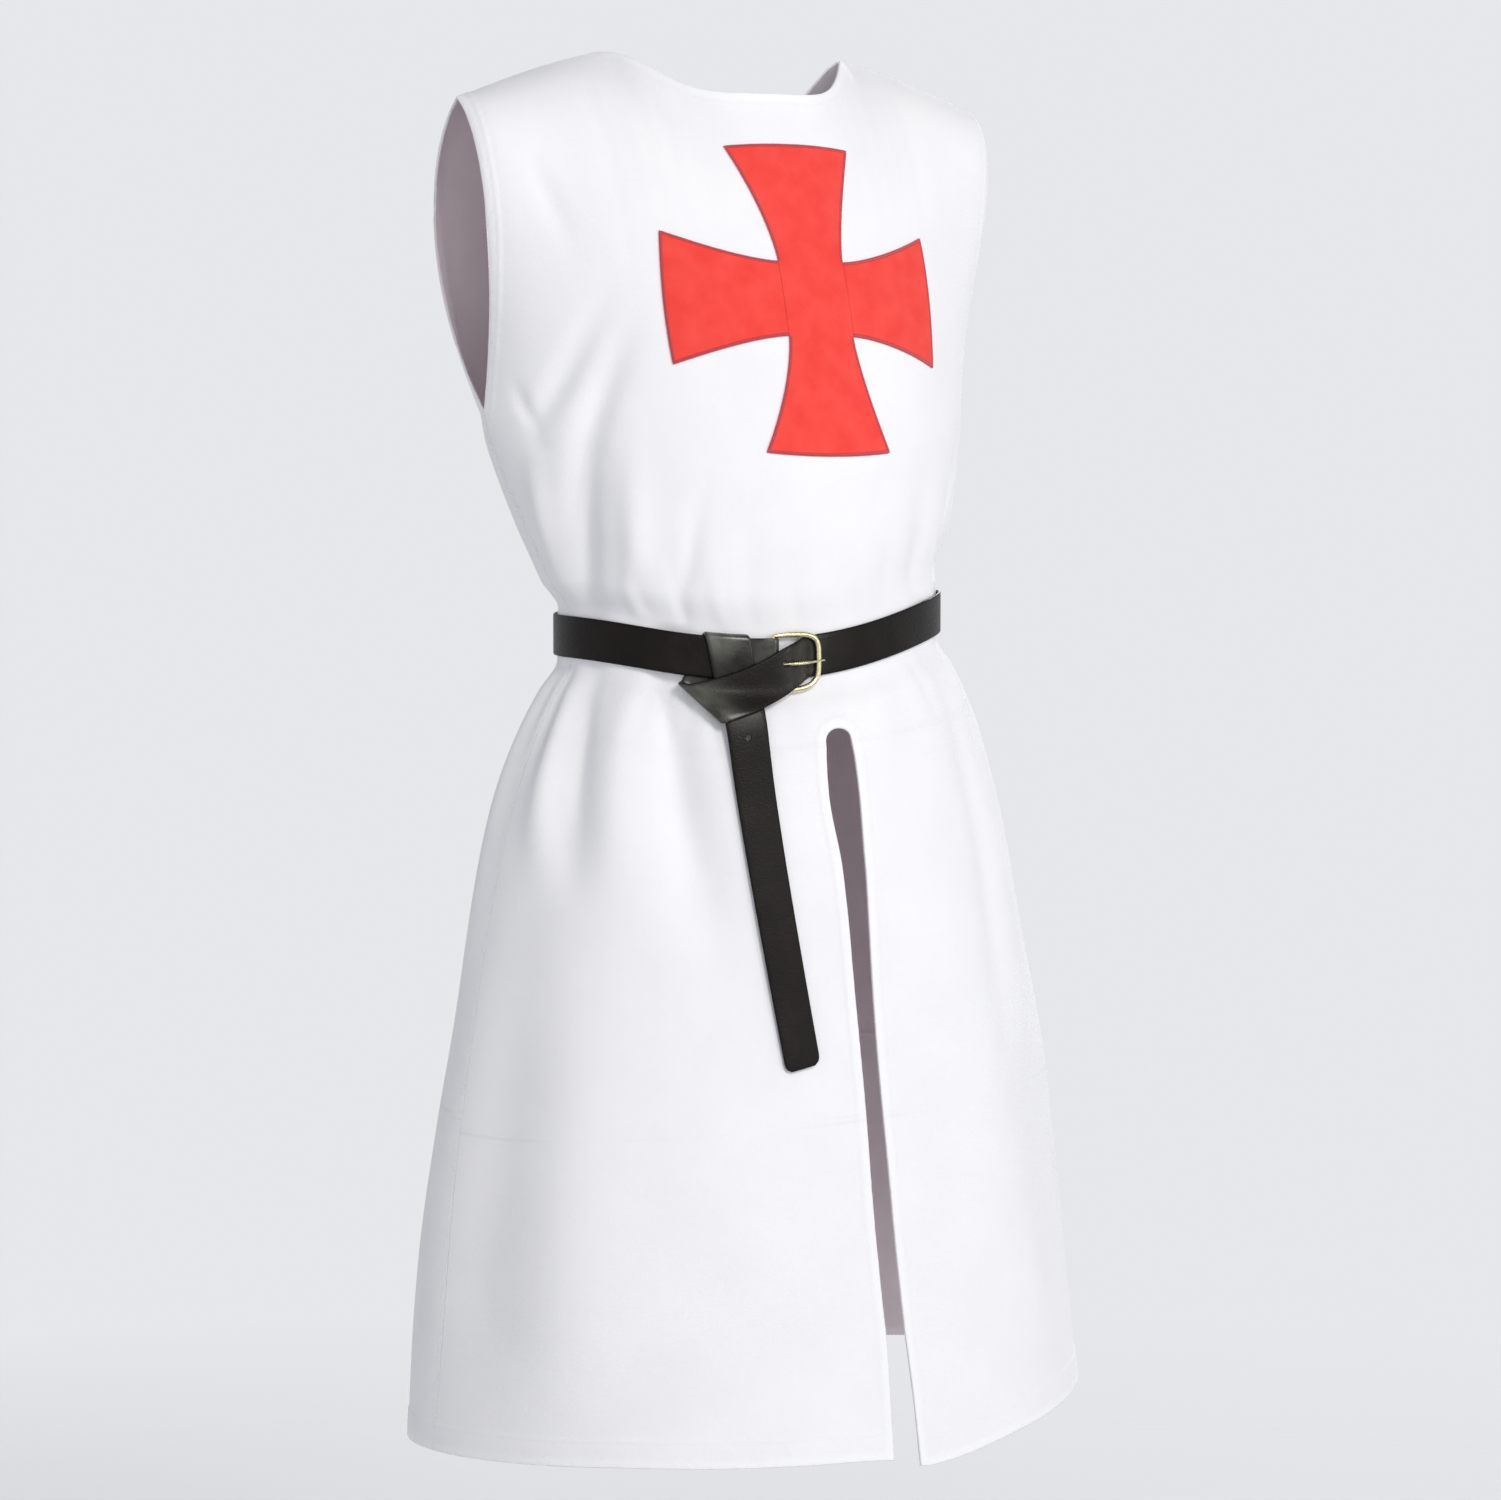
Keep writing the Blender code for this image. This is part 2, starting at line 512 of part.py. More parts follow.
def side_columns(first, last, count):
    """Angles from first to last, with one more near the side seam for the armhole's turned edge."""
    band = EDGE_BAND / 0.2
    spaced = np.linspace(first, last - band * 1.25, count)
    return np.concatenate([spaced, [last - band * 0.85, last]])


def front_panel(material):
    neck_angle = math.asin(NECK_HALF / SHOULDER_HALF)
    middle = SLIT_COLUMN * np.array([0.0, 0.55, 1.0])
    lip = SLIT_COLUMN + math.radians(2.6)
    inner = np.linspace(lip, neck_angle, 4)
    half = np.concatenate([middle, inner, side_columns(neck_angle, QUARTER, 11)[1:]])
    columns = np.concatenate([-half[:0:-1], half])
    angles, heights = np.meshgrid(columns, panel_heights())
    heights = heights.copy()
    # below the slit's top its two edges draw apart, and the other columns give way
    half_width = read_table(SECTIONS, np.clip(heights, HEM, UNDERARM)).half_width
    edge = np.arcsin(slit_half_gap(heights) / half_width)
    opened = smooth_step((SLIT_TOP + 0.030 - heights) / 0.030)
    edge = SLIT_COLUMN + (edge - SLIT_COLUMN) * opened
    away = np.abs(angles)
    beyond = (away - SLIT_COLUMN) / (QUARTER - SLIT_COLUMN)
    pushed = np.where(
        away >= SLIT_COLUMN - 1e-9,
        edge + beyond * (QUARTER - edge),
        away / SLIT_COLUMN * edge,
    )
    angles = np.sign(angles) * pushed
    # the slit ends in a half round
    top_row = int(np.argmin(np.abs(panel_heights() - SLIT_TOP)))
    in_middle = np.clip(1 - (away / SLIT_COLUMN) ** 2, 0, None)
    arch = 0.010 * np.sqrt(in_middle)
    heights[top_row] += arch[top_row]
    heights[top_row + 1] += 0.4 * arch[top_row + 1]
    kept = np.ones((len(heights) - 1, len(columns) - 1), bool)
    centre = len(columns) // 2
    kept[:top_row, centre - 2 : centre + 2] = False
    return panel("front_panel", angles, heights, -SEAM_GAP / 2, material, kept)


def back_panel(material):
    neck_angle = math.asin(NECK_HALF / SHOULDER_HALF)
    middle = np.linspace(0, neck_angle, 5)
    half = np.concatenate([middle, side_columns(neck_angle, QUARTER, 10)[1:]])
    columns = math.pi + np.concatenate([-half[:0:-1], half])
    angles, heights = np.meshgrid(columns, panel_heights())
    return panel("back_panel", angles, heights, SEAM_GAP / 2, material)


def find_on_front(x, z):
    """The (angle, height) of the front's point at this x and z, by Newton's steps."""
    angle, height = np.arcsin(np.clip(x / 0.215, -1, 1)), np.array(z, float)
    for _ in range(12):
        here = cloth_point(angle, height)
        turn = (cloth_point(angle + 1e-4, height) - here) / 1e-4
        rise = (cloth_point(angle, height + 1e-5) - here) / 1e-5
        miss_x, miss_z = x - here[..., 0], z - here[..., 2]
        size = turn[..., 0] * rise[..., 2] - rise[..., 0] * turn[..., 2]
        angle = angle + (miss_x * rise[..., 2] - miss_z * rise[..., 0]) / size
        height = height + (miss_z * turn[..., 0] - miss_x * turn[..., 2]) / size
    return angle, height


def cross_half_width(distance, end):
    """Half the width of an arm of the cross, at this distance from its centre."""
    flare = np.clip((distance - CROSS_MIDDLE) / (CROSS_HALF - CROSS_MIDDLE), 0, 1)
    return CROSS_MIDDLE + (end - CROSS_MIDDLE) * flare**1.5


def cross_piece(name, along, sideways, upright, material):
    """A flared bar of the cross, laid on the chest from the front panel's own points."""
    distance, share = np.meshgrid(along, sideways, indexing="ij")
    across = share * cross_half_width(np.abs(distance), UPRIGHT_END if upright else CROSS_END)
    out_there = np.clip(np.abs(distance) / CROSS_HALF, 0, 1) ** 4
    distance = distance + np.sign(distance) * CROSS_BULGE * (1 - share**2) * out_there
    x, rise = (across, distance) if upright else (distance, -across)
    angle, height = find_on_front(CROSS_SHIFT + 0.97 * x, CROSS_HEIGHT + 0.963 * rise)
    normal = normal_of(cloth_point, angle, height)
    shift = np.array([0, -SEAM_GAP / 2, 0])
    under = cloth_point(angle, height) + CROSS_GAP * normal + shift
    over = under + CROSS_WALL * normal
    wall(name, over, under, material)


def cross_pieces(material):
    across = np.linspace(1, -1, 8)
    cross_piece("cross_upright", np.linspace(-CROSS_HALF, CROSS_HALF, 21), across, True, material)
    reach = np.linspace(CROSS_MIDDLE + SEAM_GAP, CROSS_HALF, 9)
    cross_piece("cross_arm_left", reach, across, False, material)
    cross_piece("cross_arm_right", -reach[::-1], across, False, material)


def belt_place(along, up, out):
    """The point at a place on the belt; below the belt, out is measured from the skirt."""
    angles = np.linspace(KNOT_ANGLE - math.pi, KNOT_ANGLE + math.pi, 721)
    line = plain_point(angles, BELT_HEIGHT)
    lengths = np.concatenate([[0], np.cumsum(np.linalg.norm(np.diff(line, axis=0), axis=1))])
    lengths -= np.interp(KNOT_ANGLE, angles, lengths)
    around = lengths[-1] - lengths[0]

    def stand_off(angle):
        """The belt's line, the way out from it, and how far the skirt stands beyond it."""
        start = plain_point(angle, BELT_HEIGHT)
        outward = normal_of(plain_point, angle, np.full_like(angle, BELT_HEIGHT))
        outward[..., 2] = 0
        outward /= np.linalg.norm(outward, axis=-1, keepdims=True)
        height = BELT_HEIGHT + up
        for _ in range(3):
            height = height + start[..., 2] + up - plain_point(angle, height)[..., 2]
        reach = ((plain_point(angle, height) - start) * outward).sum(-1)
        return start, outward, np.where(up < 0, np.maximum(reach, 0), 0)

    _, _, at_knot = stand_off(np.full_like(along, KNOT_ANGLE))
    shrunk = along * BELT_RADIUS / (BELT_RADIUS + at_knot)
    shrunk = (shrunk - lengths[0]) % around + lengths[0]
    angle = np.interp(shrunk, lengths, angles)
    start, outward, reach = stand_off(angle)
    half_seam = np.where(np.cos(angle) >= 0, -SEAM_GAP / 2, SEAM_GAP / 2)
    upward = np.array([0.0, 0.0, 1.0])
    sideways = np.array([0.0, 1.0, 0.0])
    point = start + up[..., None] * upward + (reach + out)[..., None] * outward
    return point + half_seam[..., None] * sideways


def smooth_route(stations, most):
    """The route through the stations, with its own stations no further apart than `most`."""
    table = np.array(stations, float)
    places = table[:, :3]
    gaps = np.linalg.norm(np.diff(places, axis=0), axis=1)
    marks = np.concatenate([[0], np.cumsum(gaps)])
    counts = np.maximum(1, np.ceil(gaps / most - 1e-6)).astype(int)
    fine = [np.linspace(marks[i], marks[i + 1], n, endpoint=False) for i, n in enumerate(counts)]
    fine = np.concatenate([*fine, marks[-1:]])
    return blend_through(marks, table, fine)


def strap_rings(route, half_width, wall_half):
    """Rings of belt places round a flat strap; each ring lies along the strap's lean."""
    places, lean = route[:, :3], np.radians(route[:, 3])
    along = np.gradient(places, axis=0)
    along /= np.linalg.norm(along, axis=1, keepdims=True)
    width_way = np.stack([-np.sin(lean), np.cos(lean), 0 * lean], axis=1)
    facing = np.cross(width_way, along)
    square = np.linalg.norm(facing, axis=1, keepdims=True)
    facing /= square
    edge = 0.0006
    across = [1 - edge / half_width, 0.35, -0.35, edge / half_width - 1]
    front = [(a, 1.0) for a in across]
    back = [(a, -1.0) for a in reversed(across)]
    side = 1 - edge / wall_half
    outline = [*front, (-1.0, side), (-1.0, -side), *back, (1.0, -side), (1.0, side)]
    rings = [
        places + width_way / square * a * half_width + facing * b * wall_half for a, b in outline
    ]
    return np.stack(rings, axis=1)


def closed_tube(name, rings, material):
    """A closed skin over rings of points, its two ends filled."""
    count, sides = rings.shape[:2]
    faces = [list(range(sides)), [(count - 1) * sides + k for k in reversed(range(sides))]]
    for i in range(count - 1):
        for k in range(sides):
            a, b = i * sides + k, i * sides + (k + 1) % sides
            faces.append([b, a, a + sides, b + sides])
    obj = add_mesh(name, rings.reshape(-1, 3), faces, material)
    recalculate(obj)
    return obj


def recalculate(obj):
    solid = bmesh.new()
    solid.from_mesh(obj.data)
    bmesh.ops.recalc_face_normals(solid, faces=solid.faces)
    solid.to_mesh(obj.data)
    solid.free()


def belt_strap(material):
    """The one strap: round the hinge bar, round the waist, through the buckle and the knot."""
    start = smooth_route(STRAP_START, 0.014)
    end = smooth_route(STRAP_END, 0.011)
    waist_end = plain_ring_length() - STRAP_END[0].along
    waist = np.linspace(-STRAP_START[-1].along, waist_end, 52)[1:-1]
    waist = np.stack([-waist, 0 * waist, 0 * waist + BELT_WALL / 2 + LAY_GAP, 0 * waist], axis=1)
    routes = [np.concatenate([start, waist]), end]
    rings = [strap_rings(route, BELT_WIDTH / 2, BELT_WALL / 2) for route in routes]
    rings = np.concatenate(rings)
    tip = rings[-1].mean(axis=0)
    rings[-1] = tip + 0.80 * (rings[-1] - tip)
    points = belt_place(rings[..., 0], rings[..., 1], rings[..., 2])
    strap = closed_tube("belt_strap", points, material)
    for hole in HOLES:
        punch(strap, hole)


def plain_ring_length():
    line = plain_point(np.linspace(0, 2 * math.pi, 721), BELT_HEIGHT)
    return float(np.linalg.norm(np.diff(line, axis=0), axis=1).sum())


def punch(strap, hole):
    """Cut a hole through the strap, with a box or a round bar that is hidden from the build."""
    if hole.round:
        turns = np.linspace(0, 2 * math.pi, 12, endpoint=False)
        outline = [(math.cos(t), math.sin(t)) for t in turns]
    else:
        outline = [(-1, -1), (1, -1), (1, 1), (-1, 1)]
    rings = np.array(
        [
            [
                (hole.along + a * hole.half_along, hole.up + u * hole.half_up, hole.out + depth)
                for a, u in outline
            ]
            for depth in (-hole.half_out, hole.half_out)
        ]
    )
    points = belt_place(rings[..., 0], rings[..., 1], rings[..., 2])
    cutter = closed_tube("cutter_" + hole.name, points, strap.data.materials[0])
    cutter.hide_render = True
    cutter.display_type = "WIRE"
    cut = strap.modifiers.new(hole.name, "BOOLEAN")
    cut.operation = "DIFFERENCE"
    cut.solver = "EXACT"
    cut.object = cutter


def bar(name, points, radii, material, closed):
    """A round bar bent along points."""
    curve = bpy.data.curves.new(name, "CURVE")
    curve.dimensions = "3D"
    curve.bevel_depth = 1.0
    curve.bevel_resolution = 2
    curve.use_fill_caps = not closed
    curve.twist_mode = "MINIMUM"
    spline = curve.splines.new("POLY")
    spline.points.add(len(points) - 1)
    for place, point, radius in zip(spline.points, points, radii):
        place.co = (*point, 1)
        place.radius = radius
    spline.use_cyclic_u = closed
    curve.materials.append(material)
    obj = bpy.data.objects.new(name, curve)
    bpy.context.scene.collection.objects.link(obj)


def buckle(material):
    """The brass frame, its straight hinge bar inside the strap's loop, and the prong."""
    places, radii = [], []
    for up in (FRAME_HALF * 0.97, FRAME_HALF * 0.4, -FRAME_HALF * 0.4, -FRAME_HALF * 0.97):
        places.append((HINGE_ALONG, FRAME_UP + up, HINGE_OUT))
        radii.append(HINGE_BAR)
    for turn in np.linspace(-0.5, 0.5, 13):
        corner = math.copysign(abs(math.sin(turn * math.pi)) ** 0.5, turn)
        reach = abs(math.cos(turn * math.pi)) ** 0.6
        share = 0.25 + 0.75 * reach
        out = HINGE_OUT + (FRAME_OUT - HINGE_OUT) * share
        places.append((HINGE_ALONG + FRAME_REACH * share, FRAME_UP + FRAME_HALF * corner, out))
        radii.append(FRAME_BAR)
    points = belt_place(*np.array(places).T)
    bar("buckle_frame", points, radii, material, True)
    route = smooth_route(PRONG, 0.004)
    points = belt_place(*route[:, :3].T)
    radii = np.where(np.arange(len(points)) < len(points) - 1, PRONG_BAR, PRONG_BAR * 0.6)
    bar("buckle_prong", points, radii, material, False)


def plain_material(name, colour, roughness, metallic=0.0):
    material = bpy.data.materials.new(name)
    material.use_nodes = True
    shader = material.node_tree.nodes["Principled BSDF"]
    shader.inputs["Base Color"].default_value = (*colour, 1)
    shader.inputs["Roughness"].default_value = roughness
    shader.inputs["Metallic"].default_value = metallic
    return material


def main():
    for old in list(bpy.data.objects):
        bpy.data.objects.remove(old)
    white = plain_material("white cotton canvas", (0.85, 0.85, 0.88), 0.85)
    red = plain_material("red cotton twill", (0.72, 0.05, 0.05), 0.8)
    black = plain_material("black leather", (0.02, 0.018, 0.017), 0.45)
    brass = plain_material("brass", (0.75, 0.58, 0.28), 0.3, 1.0)
    front_panel(white)
    back_panel(white)
    cross_pieces(red)
    belt_strap(black)
    buckle(brass)


main()
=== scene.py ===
"""The looks of a medieval surcoat: white cotton canvas with a red cross, held in by a knotted belt.

Metres, +Z up. The front faces -Y and +X is the wearer's left. The cloth follows the same rule as
the solids, cloth_point(angle, height), with its fine creases added: rings below the underarm, and
above it columns that rise to the neckline or to the shoulder seam. Angle 0 is the centre front,
+90 degrees is the wearer's left side seam.
"""

import math
from collections import namedtuple

import bmesh
import bpy
import numpy as np
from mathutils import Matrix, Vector, kdtree
from mathutils.bvhtree import BVHTree


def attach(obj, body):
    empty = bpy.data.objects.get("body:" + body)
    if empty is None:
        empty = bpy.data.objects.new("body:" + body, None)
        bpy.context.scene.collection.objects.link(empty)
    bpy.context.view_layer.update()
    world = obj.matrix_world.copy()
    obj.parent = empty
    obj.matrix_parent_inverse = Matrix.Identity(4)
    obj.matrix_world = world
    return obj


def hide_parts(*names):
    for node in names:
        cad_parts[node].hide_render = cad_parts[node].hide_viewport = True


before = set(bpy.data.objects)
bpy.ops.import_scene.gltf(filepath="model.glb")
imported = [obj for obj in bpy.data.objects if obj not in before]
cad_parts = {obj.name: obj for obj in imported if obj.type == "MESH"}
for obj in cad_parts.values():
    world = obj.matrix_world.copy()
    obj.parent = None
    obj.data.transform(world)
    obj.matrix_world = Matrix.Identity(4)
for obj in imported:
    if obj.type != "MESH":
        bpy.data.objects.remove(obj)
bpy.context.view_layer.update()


def table(columns, *rows):
    """Rows under named columns."""
    row_kind = namedtuple("Row", columns)
    return [row_kind(*row) for row in rows]


# --- sizes shared with the solids, metres ---
SEAM_GAP = 0.0003
LAY_GAP = 0.0005  # between the cloth and the belt
HEM = -1.047
UNDERARM = -0.263
SHOULDER_HALF = 0.231
SHOULDER_FALL = 0.038
SHOULDER_ROUND = 1.3
SHOULDER_TILT = math.radians(0.7)  # the wearer's left shoulder is a little higher
NECK_HALF = 0.107
NECK_TOP = 0.014
NECK_ROUND = 2.6
# square and ease say how squarely the neckline turns up to the shoulder
FRONT_NECK, BACK_NECK = table(
    "depth drop square ease",
    (-0.077, 0.034, 5.0, 2.7),
    (0.066, 0.045, 8.0, 2.0),
)
SOFTENING = [math.radians(turn) for turn in (-9.0, -4.5, 0.0, 4.5, 9.0)]
YOKE_RISE = 0.085  # how far a column keeps the chest's slope above the underarm
SLOPE_STEP = 0.004  # that slope is read over this step
CHEST_HALF = 0.215
MEAN_DEPTH = 0.15  # of the rings, front to back
DROP_TOP = -0.80  # the hem's drop starts here and is whole DROP_REACH below
DROP_REACH = 0.25
FOLD_LEAD = 0.12  # the share of its run over which a fold starts before its first end
SLIT_TOP = -0.499
SLIT_COLUMN = math.radians(2.6)  # the column that the slit's edges follow
SLIT_CELLS = 8  # columns of cells between the centre and that column
SLIT_ARCH = 0.010  # the rise of its round top, taken up over SLIT_EASE above it
SLIT_EASE = 0.030
CROSS_HALF = 0.121
CROSS_END = 0.0525
UPRIGHT_END = 0.0570
CROSS_BULGE = 0.003
CROSS_MIDDLE = 0.0295
CROSS_SHIFT = 0.007
CROSS_HEIGHT = -0.179
CROSS_SCALE = (0.97, 0.963)  # across and up: the chest's slopes take up the rest
BELT_WIDTH = 0.032
BELT_WALL = 0.0026
BELT_HEIGHT = -0.4275
BELT_PRESS = 0.0205  # the belt presses ridges flat this far from its middle line
BELT_RADIUS = 0.13
KNOT_ANGLE = math.radians(-25.0)
SAG_ANGLE = math.radians(-12.0)
HINGE_ALONG = 0.0235
HINGE_OUT = 0.00465
HINGE_BAR = 0.0013
FRAME_REACH = 0.0365
FRAME_OUT = 0.0052
FRAME_UP = -0.003
FRAME_HALF = 0.0210
FRAME_BAR = 0.0017
PRONG_UP = -0.004
PRONG_BAR = 0.0011
HOLE_RADIUS = 0.0022

# --- sizes of the finish, metres ---
CLOTH_THICK = 0.0011
TURNING = 0.0008  # how far a turned and sewn edge stands proud
TURN_ROUND = 0.0016  # the round of the fold along it
TURN_STEP = 0.0018  # over which it sinks back into the cloth
DENT = 0.35  # how deep its stitches pull it in, as a share of TURNING
DENT_WIDTH = 0.0012
HEM_BAND = 0.020
SLIT_BAND = 0.0075
EDGE_BAND = 0.010  # the turned edges of neck and armholes
SEWN_INSET = 0.0028  # from a band's inner edge back to its stitches
SEAM_INSET = 0.0045  # from a seam to the stitches beside it
SEWN_LIFT = 0.00005  # how far they stand off the cloth
ABOVE_HEM = 6  # the side seams' stitches start this many rows up
NECK_FACING = 0.045  # the strip of canvas sewn inside the neck
CROSS_UNDER = 0.00035
CROSS_OVER = 0.0012
SATIN_WIDTH = 0.0034
SATIN_OVER = 0.0006  # how far the satin stitches reach past the twill's edge
SATIN_SINK = 0.0001  # how far their middles lie below the twill's face
SATIN_START = 0.0005  # past the edge of the bar that they start at
SEWING = {"Pitch": 0.0032, "Length": 0.0027, "Width": 0.0005, "Height": 0.00042, "Unevenness": 0.12}
SATIN = {"Pitch": 0.00055, "Length": SATIN_WIDTH, "Width": 0.00072, "Height": 0.0011, "Unevenness": 0.06}
FINE_STEP = 0.0008  # between the points of an edge, and under the satin stitches
SEWN_STEP = 0.0015  # between the points under the running stitches
FRONT_COLUMN, BACK_COLUMN = 1.22, 1.3  # degrees between the panels' columns
ROUTE_STEP = 0.0022  # between the strap's rings in its loop and its knot
WAIST_RINGS = 230
BEND_SHOWS, BEND_WHOLE = 18.0, 108.0  # per metre: bends of a radius from 55 down to 9 mm
PRESSED_RISE = 0.262  # from the hem up to the crease pressed across the skirt
FLOOR = -1.50  # a wearer of 1.78 m stands on it
FLOOR_RADIUS = 4.0
AIM = Vector((0.0, 0.0, -0.50))  # the middle of the garment, which the lights face

QUARTER = math.pi / 2 - 1e-6  # just short, so that each panel keeps to its own side
MEAN_OF_NINE = np.ones(9) / 9  # smooths values along a line

# --- the rings, from the hem up: angles in degrees, the rest in metres ---
SECTIONS = table(
    "height half_width front back pinch shift_x shift_y twist roll sag",
    (-1.047, 0.2840, 0.2230, 0.202, 1.00, 0.010, -0.020, 3.2, 2.9, 0.004),
    (-0.996, 0.2805, 0.2165, 0.198, 1.00, 0.010, -0.020, 3.0, 2.9, 0.004),
    (-0.901, 0.2725, 0.2000, 0.189, 1.00, 0.010, -0.020, 2.4, 3.0, 0.000),
    (-0.806, 0.2600, 0.1860, 0.176, 1.00, 0.011, -0.020, 1.7, 3.0, 0.000),
    (-0.711, 0.2430, 0.1720, 0.164, 1.00, 0.012, -0.020, 1.0, 3.0, 0.000),
    (-0.616, 0.2235, 0.1610, 0.150, 1.00, 0.012, -0.020, 0.5, 3.0, 0.004),
    (-0.545, 0.2029, 0.1480, 0.139, 1.00, 0.010, -0.022, 0.0, 3.0, 0.009),
    (-0.498, 0.1858, 0.1380, 0.130, 1.00, 0.009, -0.025, 0.0, 3.0, 0.015),
    (-0.470, 0.1720, 0.1275, 0.124, 1.00, 0.008, -0.028, 0.0, 3.0, 0.020),
    (-0.4475, 0.1580, 0.1155, 0.1155, 1.00, 0.007, -0.030, 0.0, 3.0, 0.022),
    (-0.4075, 0.1580, 0.1155, 0.1155, 1.00, 0.007, -0.030, 0.0, 3.0, 0.022),
    (-0.386, 0.1650, 0.1275, 0.125, 1.03, -0.001, -0.026, 0.0, 2.3, 0.016),
    (-0.356, 0.1780, 0.1405, 0.128, 1.06, 0.000, -0.019, 0.0, 1.4, 0.008),
    (-0.332, 0.1880, 0.1465, 0.127, 1.10, 0.000, -0.013, 0.0, 0.6, 0.003),
    (-0.308, 0.1970, 0.1520, 0.124, 1.15, 0.000, -0.007, 0.0, 0.2, 0.001),
    (-0.285, 0.2045, 0.1545, 0.118, 1.20, 0.000, -0.002, 0.0, 0.0, 0.000),
    (-0.263, 0.2090, 0.1530, 0.112, 1.25, 0.000, 0.000, 0.0, 0.0, 0.000),
)

# --- how each column rises from the underarm ring to the top edge, by its angle ---
# lean moves its lower control point, reach places its upper one, from the top edge.
GUIDE = "angle lean_x lean_y reach_x reach_y reach_z"
FRONT_GUIDES = table(
    GUIDE,
    (0.0, 0.000, 0.000, 0.000, -0.028, -0.078),
    (14.0, 0.000, 0.000, 0.000, -0.042, -0.067),
    (21.0, 0.000, 0.000, 0.000, -0.059, -0.055),
    (27.6, 0.000, 0.000, 0.000, -0.073, -0.044),
    (36.0, -0.001, 0.001, 0.000, -0.081, -0.034),
    (45.0, -0.003, 0.002, 0.000, -0.078, -0.020),
    (70.0, -0.009, -0.010, 0.002, -0.074, -0.018),
    (90.0, -0.017, -0.028, 0.004, -0.060, -0.044),
)
BACK_GUIDES = table(
    GUIDE,
    (0.0, 0.000, 0.004, 0.000, 0.038, -0.069),
    (14.0, 0.000, 0.004, 0.000, 0.050, -0.054),
    (21.0, 0.000, 0.006, 0.000, 0.065, -0.047),
    (27.6, 0.000, 0.008, 0.000, 0.077, -0.040),
    (36.0, -0.001, 0.013, 0.000, 0.084, -0.035),
    (45.0, -0.003, 0.020, 0.000, 0.082, -0.018),
    (70.0, -0.009, 0.056, 0.002, 0.076, -0.020),
    (90.0, -0.017, 0.088, 0.004, 0.060, -0.050),
)

# --- how far the hem hangs below its ring, by angle in degrees ---
HEM_DROPS = table(
    "angle drop",
    (-180, 0.000), (-120, -0.004), (-90, -0.009), (-52, -0.012), (-20, -0.006), (-4, 0.000),
    (5, 0.011), (25, 0.005), (60, 0.000), (180, 0.000),
)

